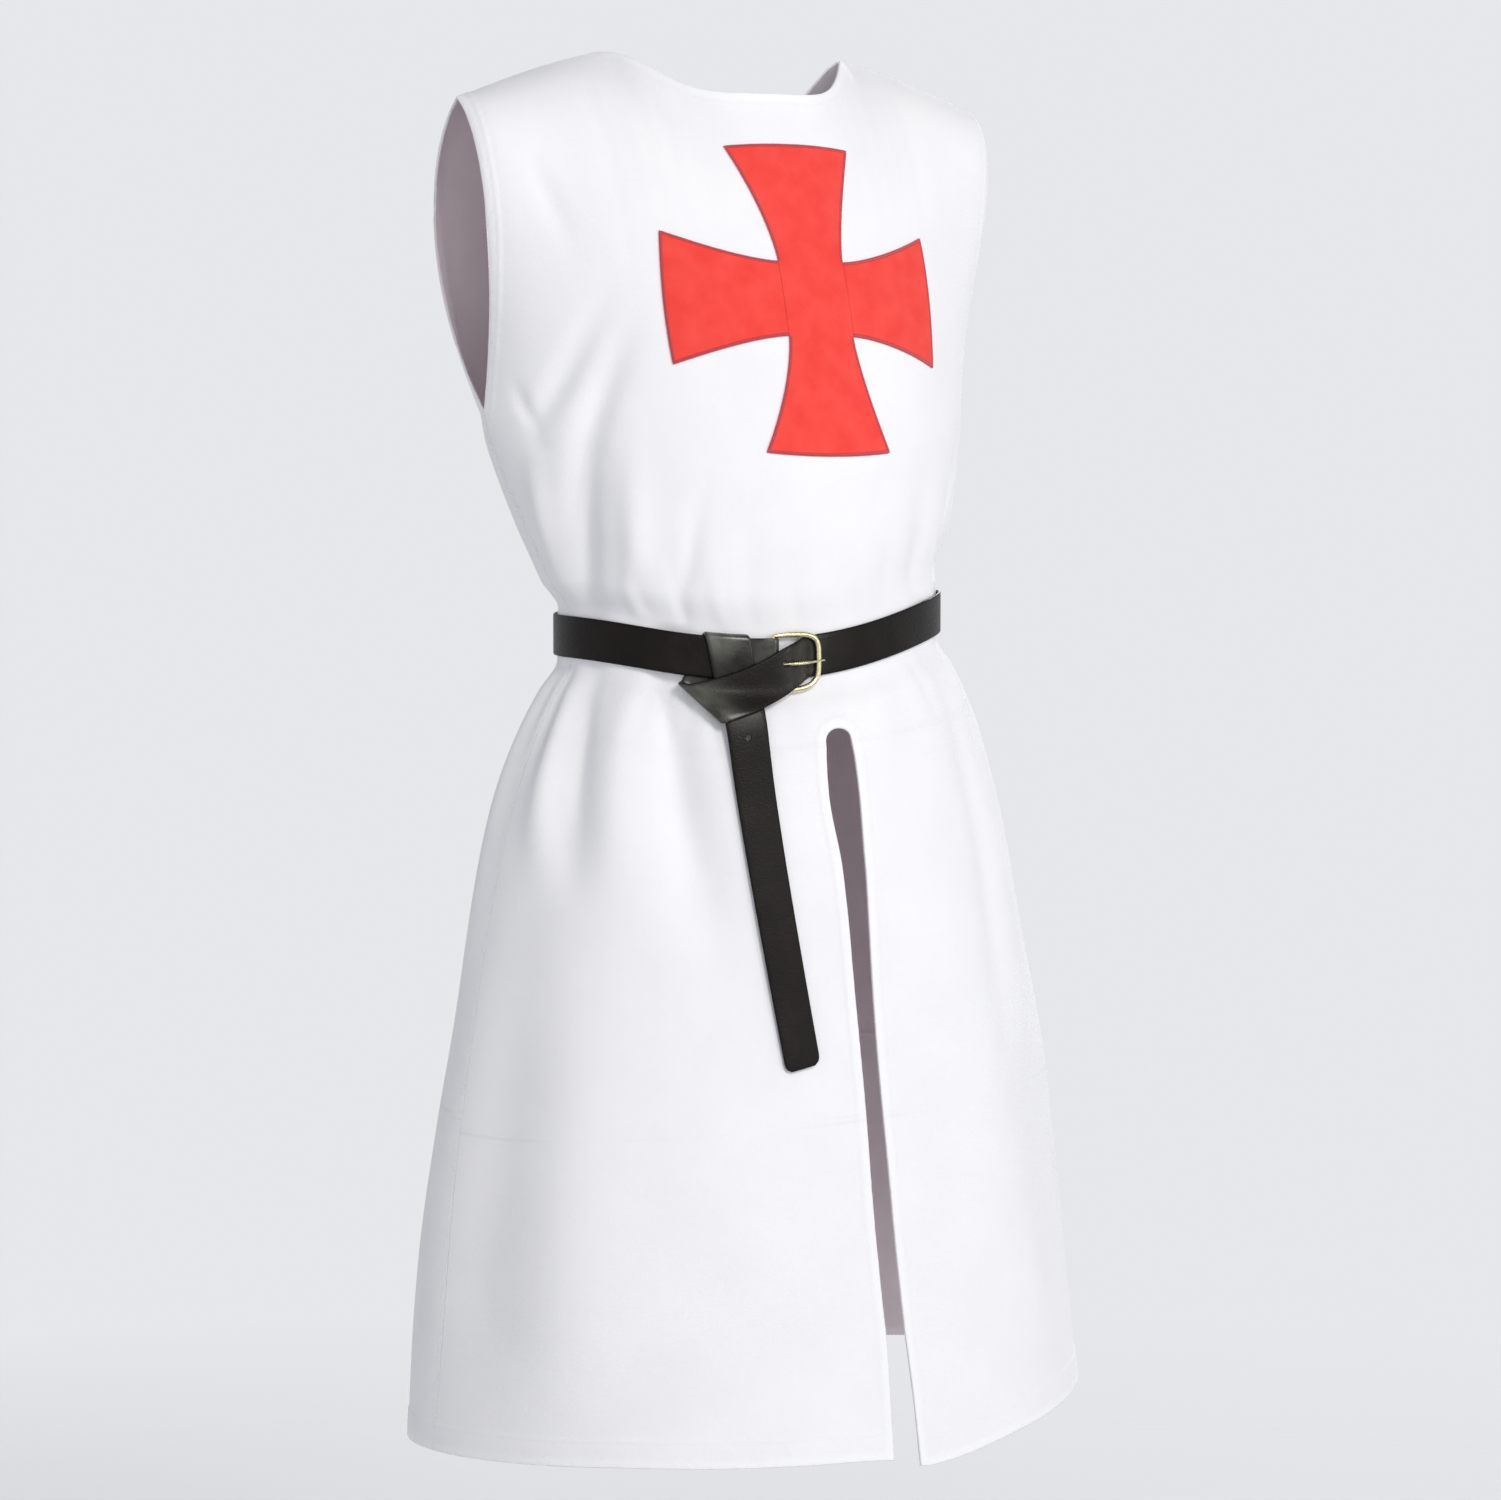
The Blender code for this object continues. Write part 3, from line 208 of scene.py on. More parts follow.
# --- the largest folds: depth below zero is a trough, above zero a ridge ---
# from_ and to_ are the angle in degrees and the height of each end, width is half the fold's
# width there, and peak is the share of its run where it is deepest.
FOLD = "from_angle from_height to_angle to_height width to_width depth peak"
FOLDS = table(
    FOLD,
    # above the belt, on the wearer's right
    (-77, -0.412, -44, -0.235, 0.018, 0.011, -0.0125, 0.30),
    (-58, -0.310, -35, -0.180, 0.011, 0.012, -0.0060, 0.40),
    (-68, -0.282, -36, -0.160, 0.011, 0.015, -0.0062, 0.30),
    (-86, -0.390, -69, -0.280, 0.011, 0.013, 0.0050, 0.45),
    (-56, -0.410, -39, -0.255, 0.011, 0.014, 0.0060, 0.30),
    (-50, -0.160, -61, -0.080, 0.011, 0.013, -0.0030, 0.45),
    # above the belt, on the wearer's left
    (40, -0.412, 30, -0.285, 0.013, 0.020, -0.0050, 0.35),
    (62, -0.412, 55, -0.250, 0.013, 0.020, -0.0075, 0.45),
    (78, -0.412, 74, -0.285, 0.012, 0.018, 0.0060, 0.40),
    # below the belt, on the front
    (-88, -0.447, -80, -0.570, 0.010, 0.014, -0.0065, 0.35),
    (-84, -0.447, -72, -0.630, 0.011, 0.022, 0.0085, 0.50),
    (-74, -0.447, -60, -0.640, 0.012, 0.021, -0.0115, 0.38),
    (-59, -0.447, -49, -0.660, 0.013, 0.030, 0.0070, 0.40),
    (-46, -0.445, -22, -0.750, 0.016, 0.024, -0.0140, 0.30),
    (-31, -0.447, -29, -0.530, 0.012, 0.014, -0.0014, 0.30),
    (24, -0.447, 20, -0.560, 0.014, 0.026, -0.0030, 0.30),
    (43, -0.447, 36, -0.880, 0.014, 0.026, -0.0060, 0.45),
    (62, -0.447, 64, -0.800, 0.014, 0.038, -0.0090, 0.30),
    (82, -0.447, 84, -0.700, 0.014, 0.034, 0.0070, 0.35),
    # long soft flutes of the skirt
    (-74, -0.600, -80, -1.080, 0.030, 0.055, -0.0110, 0.60),
    (-54, -0.640, -58, -1.080, 0.034, 0.050, 0.0070, 0.60),
    (48, -0.640, 52, -1.080, 0.034, 0.055, -0.0080, 0.60),
    # the back, below the belt
    (108, -0.447, 106, -0.760, 0.013, 0.034, -0.0100, 0.35),
    (128, -0.447, 132, -0.840, 0.014, 0.040, 0.0090, 0.40),
    (147, -0.447, 150, -0.720, 0.013, 0.034, -0.0110, 0.35),
    (172, -0.447, 168, -0.860, 0.015, 0.042, 0.0080, 0.40),
    (196, -0.447, 194, -0.740, 0.013, 0.036, -0.0120, 0.35),
    (216, -0.447, 220, -0.820, 0.014, 0.040, 0.0080, 0.40),
    (237, -0.447, 240, -0.700, 0.013, 0.034, -0.0100, 0.35),
    (258, -0.447, 256, -0.760, 0.013, 0.034, 0.0070, 0.35),
    (118, -0.700, 116, -1.080, 0.045, 0.060, -0.0110, 0.65),
    (160, -0.760, 158, -1.080, 0.045, 0.060, -0.0100, 0.65),
    (205, -0.740, 208, -1.080, 0.045, 0.060, -0.0110, 0.65),
    (250, -0.700, 248, -1.080, 0.042, 0.058, 0.0020, 0.65),
    # the back, above the belt
    (112, -0.412, 122, -0.220, 0.013, 0.020, -0.0080, 0.40),
    (134, -0.412, 142, -0.270, 0.013, 0.020, 0.0060, 0.35),
    (152, -0.412, 160, -0.240, 0.012, 0.020, -0.0070, 0.35),
    (178, -0.412, 180, -0.290, 0.013, 0.022, 0.0060, 0.35),
    (204, -0.412, 198, -0.240, 0.012, 0.020, -0.0075, 0.35),
    (226, -0.412, 218, -0.280, 0.013, 0.020, 0.0060, 0.35),
    (248, -0.412, 236, -0.215, 0.013, 0.020, -0.0085, 0.40),
)


def creases(from_height, *rows):
    """Fine folds that run from one height; a row gives the other columns, all but peak."""
    return table(FOLD, *[(angle, from_height, *rest, 0.35) for angle, *rest in rows])


# --- fine creases, too small for the solids, round the cloth in degrees as the folds ---
CREASES = [
    # below the right armhole
    *creases(-0.280, (-67.5, -73, -0.235, 0.007, 0.009, -0.0035)),
    # up from the belt: the front, then the back
    *creases(
        -0.408,
        (-54, -50, -0.355, 0.008, 0.008, -0.0032),
        (-42, -27, -0.300, 0.006, 0.008, -0.0032),
        (-42, -40, -0.345, 0.005, 0.008, -0.0018),
        (-30, -30, -0.350, 0.005, 0.008, 0.0015),
        (-22, -18, -0.320, 0.008, 0.012, -0.0022),
        (-8, -9, -0.352, 0.005, 0.009, -0.0012),
        (8, 6, -0.340, 0.006, 0.010, -0.0014),
        (24, 20, -0.340, 0.006, 0.010, -0.0016),
        (52, 48, -0.345, 0.005, 0.008, 0.0016),
        (103, 110, -0.330, 0.006, 0.010, -0.0022),
        (121, 127, -0.345, 0.005, 0.009, -0.0018),
        (143, 150, -0.315, 0.006, 0.011, -0.0024),
        (165, 168, -0.350, 0.005, 0.009, -0.0016),
        (190, 188, -0.325, 0.006, 0.010, -0.0022),
        (215, 207, -0.320, 0.006, 0.010, -0.0022),
        (238, 229, -0.335, 0.005, 0.010, -0.0020),
        (257, 250, -0.345, 0.006, 0.010, -0.0018),
    ),
    # down from the belt: the front, then the back
    *creases(
        -0.447,
        (-52, -52, -0.520, 0.006, 0.010, -0.0020),
        (-49, -41, -0.520, 0.007, 0.009, -0.0050),
        (-39, -38, -0.520, 0.006, 0.010, -0.0016),
        (-12, -12, -0.505, 0.006, 0.010, -0.0012),
        (10, 10, -0.490, 0.006, 0.010, -0.0010),
        (33, 34, -0.520, 0.006, 0.010, -0.0018),
        (53, 53, -0.530, 0.006, 0.010, 0.0018),
        (73, 74, -0.540, 0.006, 0.010, -0.0020),
        (99, 98, -0.530, 0.006, 0.011, -0.0022),
        (118, 117, -0.515, 0.006, 0.010, -0.0018),
        (137, 139, -0.550, 0.006, 0.012, -0.0024),
        (158, 158, -0.520, 0.006, 0.010, -0.0020),
        (183, 182, -0.545, 0.006, 0.012, -0.0024),
        (206, 207, -0.520, 0.006, 0.010, -0.0020),
        (226, 227, -0.545, 0.006, 0.012, -0.0024),
        (247, 248, -0.515, 0.006, 0.010, -0.0018),
        (265, 264, -0.530, 0.006, 0.010, -0.0018),
    ),
]

# --- the slit in the front, from the hem up to its top ---
SLIT = table(
    "height half_gap",
    (-1.047, 0.0125), (-1.000, 0.0110), (-0.950, 0.0090), (-0.860, 0.0085), (-0.770, 0.0075),
    (-0.680, 0.0085), (-0.600, 0.0105), (-0.545, 0.0135), (-0.515, 0.0125), (-0.499, 0.0110),
)

# --- the strap's route, in belt places: along from the knot to the wearer's left, up from the
# belt's middle line, out from the cloth to the strap's middle layer. lean turns its width
# from upright (0) towards the wearer's right (90), in degrees ---
STATION = "along up out lean"
# the end sewn round the hinge bar, and on over the knot's hidden turn, as (along, out)
STRAP_START = table(STATION, *[(along, 0.0, out, 0) for along, out in [
    (0.0060, 0.00180), (0.0150, 0.00180), (0.0235, 0.00175), (0.0256, 0.00260), (0.0264, 0.00465),
    (0.0256, 0.00670), (0.0235, 0.00755), (0.0165, 0.00690), (0.0070, 0.00500), (-0.0100, 0.00490),
    (-0.0300, 0.00490), (-0.0520, 0.00490), (-0.0700, 0.00300), (-0.0880, 0.00180),
]])
STRAP_END = table(
    STATION,
    # under the frame, over the bar, down to the turn at the lower edge
    (0.0850, 0.0000, 0.00180, 0),
    (0.0740, 0.0000, 0.00180, 0),
    (0.0600, 0.0000, 0.00180, 0),
    (0.0535, -0.0002, 0.00185, 1),
    (0.0490, -0.0012, 0.00350, 3),
    (0.0435, -0.0032, 0.00680, 5),
    (0.0350, -0.0070, 0.01010, 10),
    (0.0240, -0.0130, 0.01130, 18),
    (0.0120, -0.0190, 0.01170, 25),
    (0.0000, -0.0245, 0.01170, 31),
    (-0.0130, -0.0295, 0.01160, 38),
    (-0.0250, -0.0338, 0.01130, 44),
    # the turn under
    (-0.0292, -0.0350, 0.01040, 46),
    (-0.0322, -0.0352, 0.00850, 47),
    (-0.0336, -0.0346, 0.00650, 48),
    (-0.0338, -0.0328, 0.00450, 49),
    (-0.0326, -0.0300, 0.00270, 51),
    (-0.0306, -0.0260, 0.00190, 54),
    # up behind the belt
    (-0.0260, -0.0150, 0.00180, 62),
    (-0.0205, -0.0020, 0.00180, 74),
    (-0.0160, 0.0090, 0.00180, 85),
    (-0.0140, 0.0146, 0.00185, 90),
    # over its top edge
    (-0.0132, 0.0168, 0.00270, 90),
    (-0.0126, 0.0177, 0.00495, 90),
    (-0.0120, 0.0168, 0.00720, 90),
    (-0.0112, 0.0144, 0.00810, 90),
    # down in front, under the band, and hanging
    (-0.0095, 0.0060, 0.00815, 90),
    (-0.0070, -0.0080, 0.00815, 92),
    (-0.0042, -0.0220, 0.00815, 94),
    (-0.0018, -0.0360, 0.00790, 95),
    (0.0002, -0.0500, 0.00650, 96),
    (0.0018, -0.0650, 0.00480, 97),
    (0.0046, -0.0900, 0.00340, 98),
    (0.0100, -0.1300, 0.00280, 99),
    (0.0170, -0.1750, 0.00250, 100),
    (0.0250, -0.2200, 0.00250, 100),
    (0.0345, -0.2700, 0.00250, 100),
    (0.0415, -0.3060, 0.00260, 100),
)
# an eye half round the hinge bar, then out through the strap to the frame, as (along, out)
PRONG = table(STATION, *[(along, PRONG_UP, out, 0) for along, out in [
    (0.0245, 0.00205), (0.0226, 0.00210), (0.0210, 0.00330), (0.0207, 0.00500), (0.0220, 0.00680),
    (0.0245, 0.00745), (0.0290, 0.00830), (0.0345, 0.01010), (0.0400, 0.01150), (0.0460, 0.01130),
    (0.0530, 0.00980), (0.0600, 0.00850), (0.0638, 0.00790),
]])
# holes through the strap: a box of belt places, half its length, height and depth
HOLES = table(
    "name along up out half_along half_up half_out round",
    ("loop_slot", 0.0243, PRONG_UP, 0.0044, 0.0052, 0.0016, 0.0052, False),
    ("prong_hole", 0.0352, PRONG_UP, 0.0102, 0.0062, 0.0016, 0.0034, False),
    ("tail_hole", 0.0010, -0.0585, 0.0055, HOLE_RADIUS, HOLE_RADIUS, 0.0060, True),
)


def unit(vectors):
    """The same directions, at length one."""
    return vectors / np.maximum(np.linalg.norm(vectors, axis=-1, keepdims=True), 1e-12)


def lengths_along(points, axis):
    """The distance along each row or column of a grid, from its first point."""
    steps = np.linalg.norm(np.diff(points, axis=axis), axis=-1)
    start = np.zeros_like(np.take(steps, [0], axis=axis))
    return np.concatenate([start, np.cumsum(steps, axis=axis)], axis=axis)


def blend_through(marks, values, at):
    """Each column of values, given at rising marks, read at `at` with no overshoot between them."""
    marks, values, at = [np.asarray(given, float) for given in (marks, values, at)]
    step = np.diff(marks)[:, None]
    slope = np.diff(values, axis=0) / step
    before, after = slope[:-1], slope[1:]
    same_way = before * after > 0
    before, after = np.where(same_way, before, 1.0), np.where(same_way, after, 1.0)
    wide, narrow = 2 * step[1:] + step[:-1], step[1:] + 2 * step[:-1]
    harmonic = np.where(same_way, (wide + narrow) / (wide / before + narrow / after), 0.0)
    tangent = np.concatenate([slope[:1], harmonic, slope[-1:]])
    piece = np.clip(np.searchsorted(marks, at, side="right") - 1, 0, len(marks) - 2)
    length = step[piece]
    share = np.clip((at - marks[piece])[..., None] / length, -0.2, 1.2)
    return (
        (1 + 2 * share) * (1 - share) ** 2 * values[piece]
        + share * (1 - share) ** 2 * length * tangent[piece]
        + share**2 * (3 - 2 * share) * values[piece + 1]
        + share**2 * (share - 1) * length * tangent[piece + 1]
    )


def read_table(rows, at):
    """A table whose first column is the mark, read at `at` as one row of arrays."""
    values = np.array(rows, float)
    columns = blend_through(values[:, 0], values, at)
    return type(rows[0])(*np.moveaxis(columns, -1, 0))


def smooth_step(value):
    share = np.clip(value, 0.0, 1.0)
    return share * share * (3 - 2 * share)


def wrapped(angle):
    return (angle + math.pi) % (2 * math.pi) - math.pi


# --- the cloth's surface ---


def half_width(height):
    return read_table(SECTIONS, np.clip(height, HEM, UNDERARM)).half_width


def ring_point(angle, height):
    """The cloth with no folds, below the underarm."""
    section = read_table(SECTIONS, height)
    side, ahead = np.sin(angle), np.cos(angle)
    depth = np.where(ahead >= 0, section.front, section.back)
    across = section.half_width * side
    along = -depth * np.sign(ahead) * np.abs(ahead) ** section.pinch
    twist = np.radians(section.twist)
    x = across * np.cos(twist) - along * np.sin(twist)
    y = across * np.sin(twist) + along * np.cos(twist)
    drop = section.sag * np.maximum(np.cos(angle - SAG_ANGLE), 0) ** 3
    hang = read_table(HEM_DROPS, np.degrees(wrapped(angle))).drop
    drop = drop + hang * smooth_step((DROP_TOP - height) / DROP_REACH)
    z = height + x * np.tan(np.radians(section.roll)) - drop
    return np.stack([x + section.shift_x, y + section.shift_y, z], axis=-1)


def top_edge(angle):
    """The neckline, and outside it the shoulder seam."""
    x = SHOULDER_HALF * np.sin(angle)
    front = np.cos(angle) >= 0
    depth, drop, square, ease = [np.where(front, *pair) for pair in zip(FRONT_NECK, BACK_NECK)]
    inward = np.clip(np.abs(x) / NECK_HALF, 0, 1)
    fall = np.clip(np.abs(x) - NECK_HALF, 0, None) / (SHOULDER_HALF - NECK_HALF)
    z = NECK_TOP - drop * (1 - inward**square) ** ease - SHOULDER_FALL * fall**SHOULDER_ROUND
    return np.stack([x, depth * (1 - inward**NECK_ROUND), z + x * math.tan(SHOULDER_TILT)], axis=-1)


def yoke_point(angle, share):
    """The cloth above the underarm: share 0 is the underarm ring and 1 the top edge."""
    bottom = ring_point(angle, np.full_like(angle, UNDERARM))
    below = ring_point(angle, np.full_like(angle, UNDERARM - SLOPE_STEP))
    top = top_edge(angle)
    # the neckline's corner is a cut edge, so it must not run down into the cloth as a crease
    soft = sum(top_edge(angle + turn) for turn in SOFTENING) / len(SOFTENING)
    side, front = np.sin(angle), np.cos(angle) >= 0
    off_centre = np.abs(np.degrees(np.arcsin(np.clip(side, -1, 1))))
    ahead, behind = read_table(FRONT_GUIDES, off_centre), read_table(BACK_GUIDES, off_centre)
    _, lean_x, lean_y, reach_x, reach_y, reach_z = [
        np.where(front, *pair) for pair in zip(ahead, behind)
    ]
    hand = np.sign(side)
    lower = bottom + (bottom - below) / SLOPE_STEP * YOKE_RISE
    lower = lower + np.stack([lean_x * hand, lean_y, 0 * hand], axis=-1)
    upper = soft + np.stack([reach_x * hand, reach_y, reach_z], axis=-1)
    up = share[..., None]
    down = 1 - up
    curve = down**3 * bottom + 3 * down**2 * up * lower + 3 * down * up**2 * upper + up**3 * soft
    return curve + (top - soft) * up**10  # the corner shows in the last 2 cm only


def plain_point(angle, height):
    """The cloth with no folds: height runs on above the underarm to 0 at the top edge."""
    angle, height = np.broadcast_arrays(np.asarray(angle, float), np.asarray(height, float))
    share = np.clip((height - UNDERARM) / -UNDERARM, 0, None)
    low = ring_point(angle, np.minimum(height, UNDERARM))
    return np.where((height > UNDERARM)[..., None], yoke_point(angle, share), low)


def normal_of(surface, angle, height):
    """The outward normal of a surface rule, by small steps that stay on one side of an edge."""
    turn, rise = 0.01, 0.0015
    yoke, front = height > UNDERARM, np.cos(angle) >= 0
    low, high = [
        np.where(yoke & ((np.cos(turned) >= 0) != front), angle, turned)
        for turned in (angle - turn, angle + turn)
    ]
    across = surface(high, height) - surface(low, height)
    upward = surface(angle, height + rise) - surface(angle, height - rise)
    return unit(np.cross(across, upward))


def fold_depth(angle, height):
    """How far the folds move the cloth out, summed over all of them."""
    total = np.zeros(np.broadcast(angle, height).shape)
    radius = 0.5 * (half_width(height) + MEAN_DEPTH)
    for fold in FOLDS + CREASES:
        run = (height - fold.from_height) / (fold.to_height - fold.from_height)
        inside = np.clip(run, 0, 1)
        centre = np.radians(fold.from_angle + (fold.to_angle - fold.from_angle) * inside)
        width = fold.width + (fold.to_width - fold.width) * inside
        away = wrapped(angle - centre) * radius / width
        rise = smooth_step((inside + FOLD_LEAD) / (fold.peak + FOLD_LEAD))
        fall = smooth_step((1 - inside) / (1 - fold.peak))
        fade = np.where((run < -FOLD_LEAD) | (run > 1), 0.0, rise * fall)
        total += fold.depth * np.exp(-(away**2)) * fade
    under_belt = np.abs(height - BELT_HEIGHT) < BELT_PRESS
    return np.where(under_belt, np.minimum(total, 0), total)


def cloth_point(angle, height):
    """The outside of the cloth."""
    angle, height = np.broadcast_arrays(np.asarray(angle, float), np.asarray(height, float))
    normal = normal_of(plain_point, angle, height)
    return plain_point(angle, height) + fold_depth(angle, height)[..., None] * normal


def find_on_front(x, z):
    """The (angle, height) of the front's point at this x and z, by Newton's steps."""
    angle, height = np.arcsin(np.clip(x / CHEST_HALF, -1, 1)), np.array(z, float)
    for _ in range(12):
        here = cloth_point(angle, height)
        turn = (cloth_point(angle + 1e-4, height) - here) / 1e-4
        rise = (cloth_point(angle, height + 1e-5) - here) / 1e-5
        miss_x, miss_z = x - here[..., 0], z - here[..., 2]
        size = turn[..., 0] * rise[..., 2] - rise[..., 0] * turn[..., 2]
        angle = angle + (miss_x * rise[..., 2] - miss_z * rise[..., 0]) / size
        height = height + (miss_z * turn[..., 0] - miss_x * turn[..., 2]) / size
    return angle, height


def cross_half_width(distance, end):
    """Half the width of an arm of the cross, at this distance from its centre."""
    flare = np.clip((distance - CROSS_MIDDLE) / (CROSS_HALF - CROSS_MIDDLE), 0, 1)
    return CROSS_MIDDLE + (end - CROSS_MIDDLE) * flare**1.5


# --- the belt's line ---


def belt_ring(first, last):
    """Angles round the waist at the belt, and the distance along it to each of them."""
    angles = np.linspace(first, last, 721)
    return angles, lengths_along(plain_point(angles, BELT_HEIGHT), 0)


def belt_place(along, up, out):
    """The point at a place on the belt; below the belt, out is measured from the skirt."""
    angles, lengths = belt_ring(KNOT_ANGLE - math.pi, KNOT_ANGLE + math.pi)
    lengths -= np.interp(KNOT_ANGLE, angles, lengths)
    around = lengths[-1] - lengths[0]

    def stand_off(angle):
        """The belt's line, the way out from it, and how far the skirt stands beyond it."""
        start = plain_point(angle, BELT_HEIGHT)
        level = np.full_like(angle, BELT_HEIGHT)
        outward = unit(normal_of(plain_point, angle, level) * (1, 1, 0))
        height = BELT_HEIGHT + up
        for _ in range(3):
            height = height + start[..., 2] + up - plain_point(angle, height)[..., 2]
        reach = ((plain_point(angle, height) - start) * outward).sum(-1)
        return start, outward, np.where(up < 0, np.maximum(reach, 0), 0)

    _, _, at_knot = stand_off(np.full_like(along, KNOT_ANGLE))
    shrunk = along * BELT_RADIUS / (BELT_RADIUS + at_knot)
    angle = np.interp((shrunk - lengths[0]) % around + lengths[0], lengths, angles)
    start, outward, reach = stand_off(angle)
    half_seam = np.where(np.cos(angle) >= 0, -SEAM_GAP / 2, SEAM_GAP / 2)
    return start + (reach + out)[..., None] * outward + np.stack([0 * up, half_seam, up], axis=-1)


def smooth_route(stations, most):
    """The route through the stations, with its own stations no further apart than `most`."""
    route = np.array(stations, float)
    marks = lengths_along(route[:, :3], 0)
    counts = np.maximum(1, np.ceil(np.diff(marks) / most - 1e-6)).astype(int)
    fine = [np.linspace(marks[i], marks[i + 1], n, endpoint=False) for i, n in enumerate(counts)]
    return blend_through(marks, route, np.concatenate([*fine, marks[-1:]]))


# --- materials ---


def hex_colour(text):
    """An sRGB hex colour as the linear one that a shader takes."""
    parts = [int(text[i : i + 2], 16) / 255 for i in (1, 3, 5)]
    linear = [c / 12.92 if c <= 0.04045 else ((c + 0.055) / 1.055) ** 2.4 for c in parts]
    return (*linear, 1.0)


def node(tree, kind, inputs=None, **settings):
    """Adds a node. inputs gives its sockets, by name or number, a value, or what to link."""
    made = tree.nodes.new(kind)
    for name, value in settings.items():
        setattr(made, name, value)
    for name, value in (inputs or {}).items():
        named = [s for s in made.inputs if s.enabled and s.name == name]
        socket = named[0] if named else made.inputs[name]
        if isinstance(value, bpy.types.Node):
            value = next(s for s in value.outputs if s.enabled)
        if isinstance(value, bpy.types.NodeSocket):
            tree.links.new(value, socket)
        elif isinstance(value, str) and value.startswith("#"):
            socket.default_value = hex_colour(value)
        else:
            socket.default_value = value
    return made


def toned(tree, pattern, span, first, second, amount=(0.0, 1.0)):
    """One colour turning into another as a pattern's value runs over a span."""
    limits = zip(("From Min", "From Max", "To Min", "To Max"), (*span, *amount))
    share = node(tree, "ShaderNodeMapRange", {"Value": pattern, **dict(limits)})
    return node(tree, "ShaderNodeMix", {"Factor": share, "A": first, "B": second}, data_type="RGBA")


def new_material(name):
    material = bpy.data.materials.new(name)
    material.use_nodes = True
    material.node_tree.nodes.clear()
    return material, material.node_tree


def woven_cotton(name, light, dark, band):
    """Cotton canvas, plain woven from spun yarn: matt, with thick and thin threads and a soft nap.

    The yarns lie 0.6 mm apart; they are drawn 1.4 mm apart so that they show from nearby.
    """
    material, tree = new_material(name)
    place = node(tree, "ShaderNodeUVMap", uv_map="cloth")
    pitch = 0.0014
    threads = []
    for way, slub_scale in (("X", (1400.0, 55.0, 1.0)), ("Y", (55.0, 1400.0, 1.0))):
        yarn = {"Vector": place, "Scale": math.pi / 10 / pitch, "Distortion": 1.2, "Detail Scale": 0.8}
        thread = node(tree, "ShaderNodeTexWave", yarn, bands_direction=way).outputs["Fac"]
        # each yarn is spun thick in places and thin in others
        along = node(tree, "ShaderNodeMapping", {"Vector": place, "Scale": slub_scale})
        slub = node(tree, "ShaderNodeTexNoise", {"Vector": along, "Scale": 1.0})
        threads.append(node(tree, "ShaderNodeMath", {0: thread, 1: slub}, operation="MULTIPLY"))
    over = node(tree, "ShaderNodeTexChecker", {"Vector": place, "Scale": 1 / pitch}).outputs["Fac"]
    weave = node(tree, "ShaderNodeMix", {"Factor": over, "A": threads[0], "B": threads[1]})
    # the sewn edges pucker between the stitches
    to_edge = node(tree, "ShaderNodeAttribute", attribute_name="to_edge").outputs["Fac"]
    fading = {"From Min": 0.008, "From Max": 0.026, "To Min": 1.0, "To Max": 0.0}
    near_edge = node(tree, "ShaderNodeMapRange", {"Value": to_edge, **fading})
    ripple = node(tree, "ShaderNodeTexNoise", {"Vector": place, "Scale": 150.0, "Detail": 1.0})
    pucker = node(tree, "ShaderNodeMath", {0: ripple, 1: near_edge}, operation="MULTIPLY")
    # long faint rumples of washed cloth
    stretched = node(tree, "ShaderNodeMapping", {"Vector": place, "Scale": (26.0, 9.0, 1.0)})
    rumple = node(tree, "ShaderNodeTexNoise", {"Vector": stretched, "Scale": 1.0, "Detail": 3.0})
    # one crease across the skirt, pressed in while the cloth lay folded; it comes and goes
    rise = node(tree, "ShaderNodeSeparateXYZ", {"Vector": place}).outputs["Y"]
    above = node(tree, "ShaderNodeMath", {0: rise, 1: PRESSED_RISE}, operation="SUBTRACT")
    off_line = node(tree, "ShaderNodeMath", {0: above}, operation="ABSOLUTE")
    narrow = {"Value": off_line, "From Max": 0.004, "To Min": 1.0, "To Max": 0.0}
    line = node(tree, "ShaderNodeMapRange", narrow, interpolation_type="SMOOTHSTEP")
    patches = node(tree, "ShaderNodeTexNoise", {"Vector": place, "Scale": 7.0, "Detail": 1.0})
    worn = node(tree, "ShaderNodeMapRange", {"Value": patches, "From Min": 0.38, "From Max": 0.6})
    pressed = node(tree, "ShaderNodeMath", {0: line, 1: worn}, operation="MULTIPLY")
    relief = {}
    for strength, depth, height in (
        (0.18, 0.0012, rumple), (0.5, 0.0016, pressed), (0.5, 0.0009, pucker), (0.5, 0.00025, weave),
    ):
        sizes = {"Strength": strength, "Distance": depth, "Height": height}
        relief = {"Normal": node(tree, "ShaderNodeBump", {**sizes, **relief})}
    # the yarn's own unevenness, then painted shade: darker between the threads, where the weave's relief
    # is low
    mottle = node(tree, "ShaderNodeTexNoise", {"Vector": place, "Scale": 14.0, "Detail": 5.0})
    colour = toned(tree, mottle, (0.35, 0.65), dark, light)
    colour = toned(tree, weave, (0.1, 0.5), dark, colour, (0.88, 1.0))
    # painted highlight: the band colour, brighter, within a few millimetres of the turned and sewn edges
    colour = toned(tree, to_edge, (0.004, 0.008), colour, band, (0.8, 0.0))
    shader = node(
        tree,
        "ShaderNodeBsdfPrincipled",
        {
            "Base Color": colour,
            "Roughness": 0.92,
            "Specular IOR Level": 0.25,
            "Sheen Weight": 0.18,
            "Sheen Roughness": 0.55,
            **relief,
        },
    )
    node(tree, "ShaderNodeOutputMaterial", {"Surface": shader})
    return material


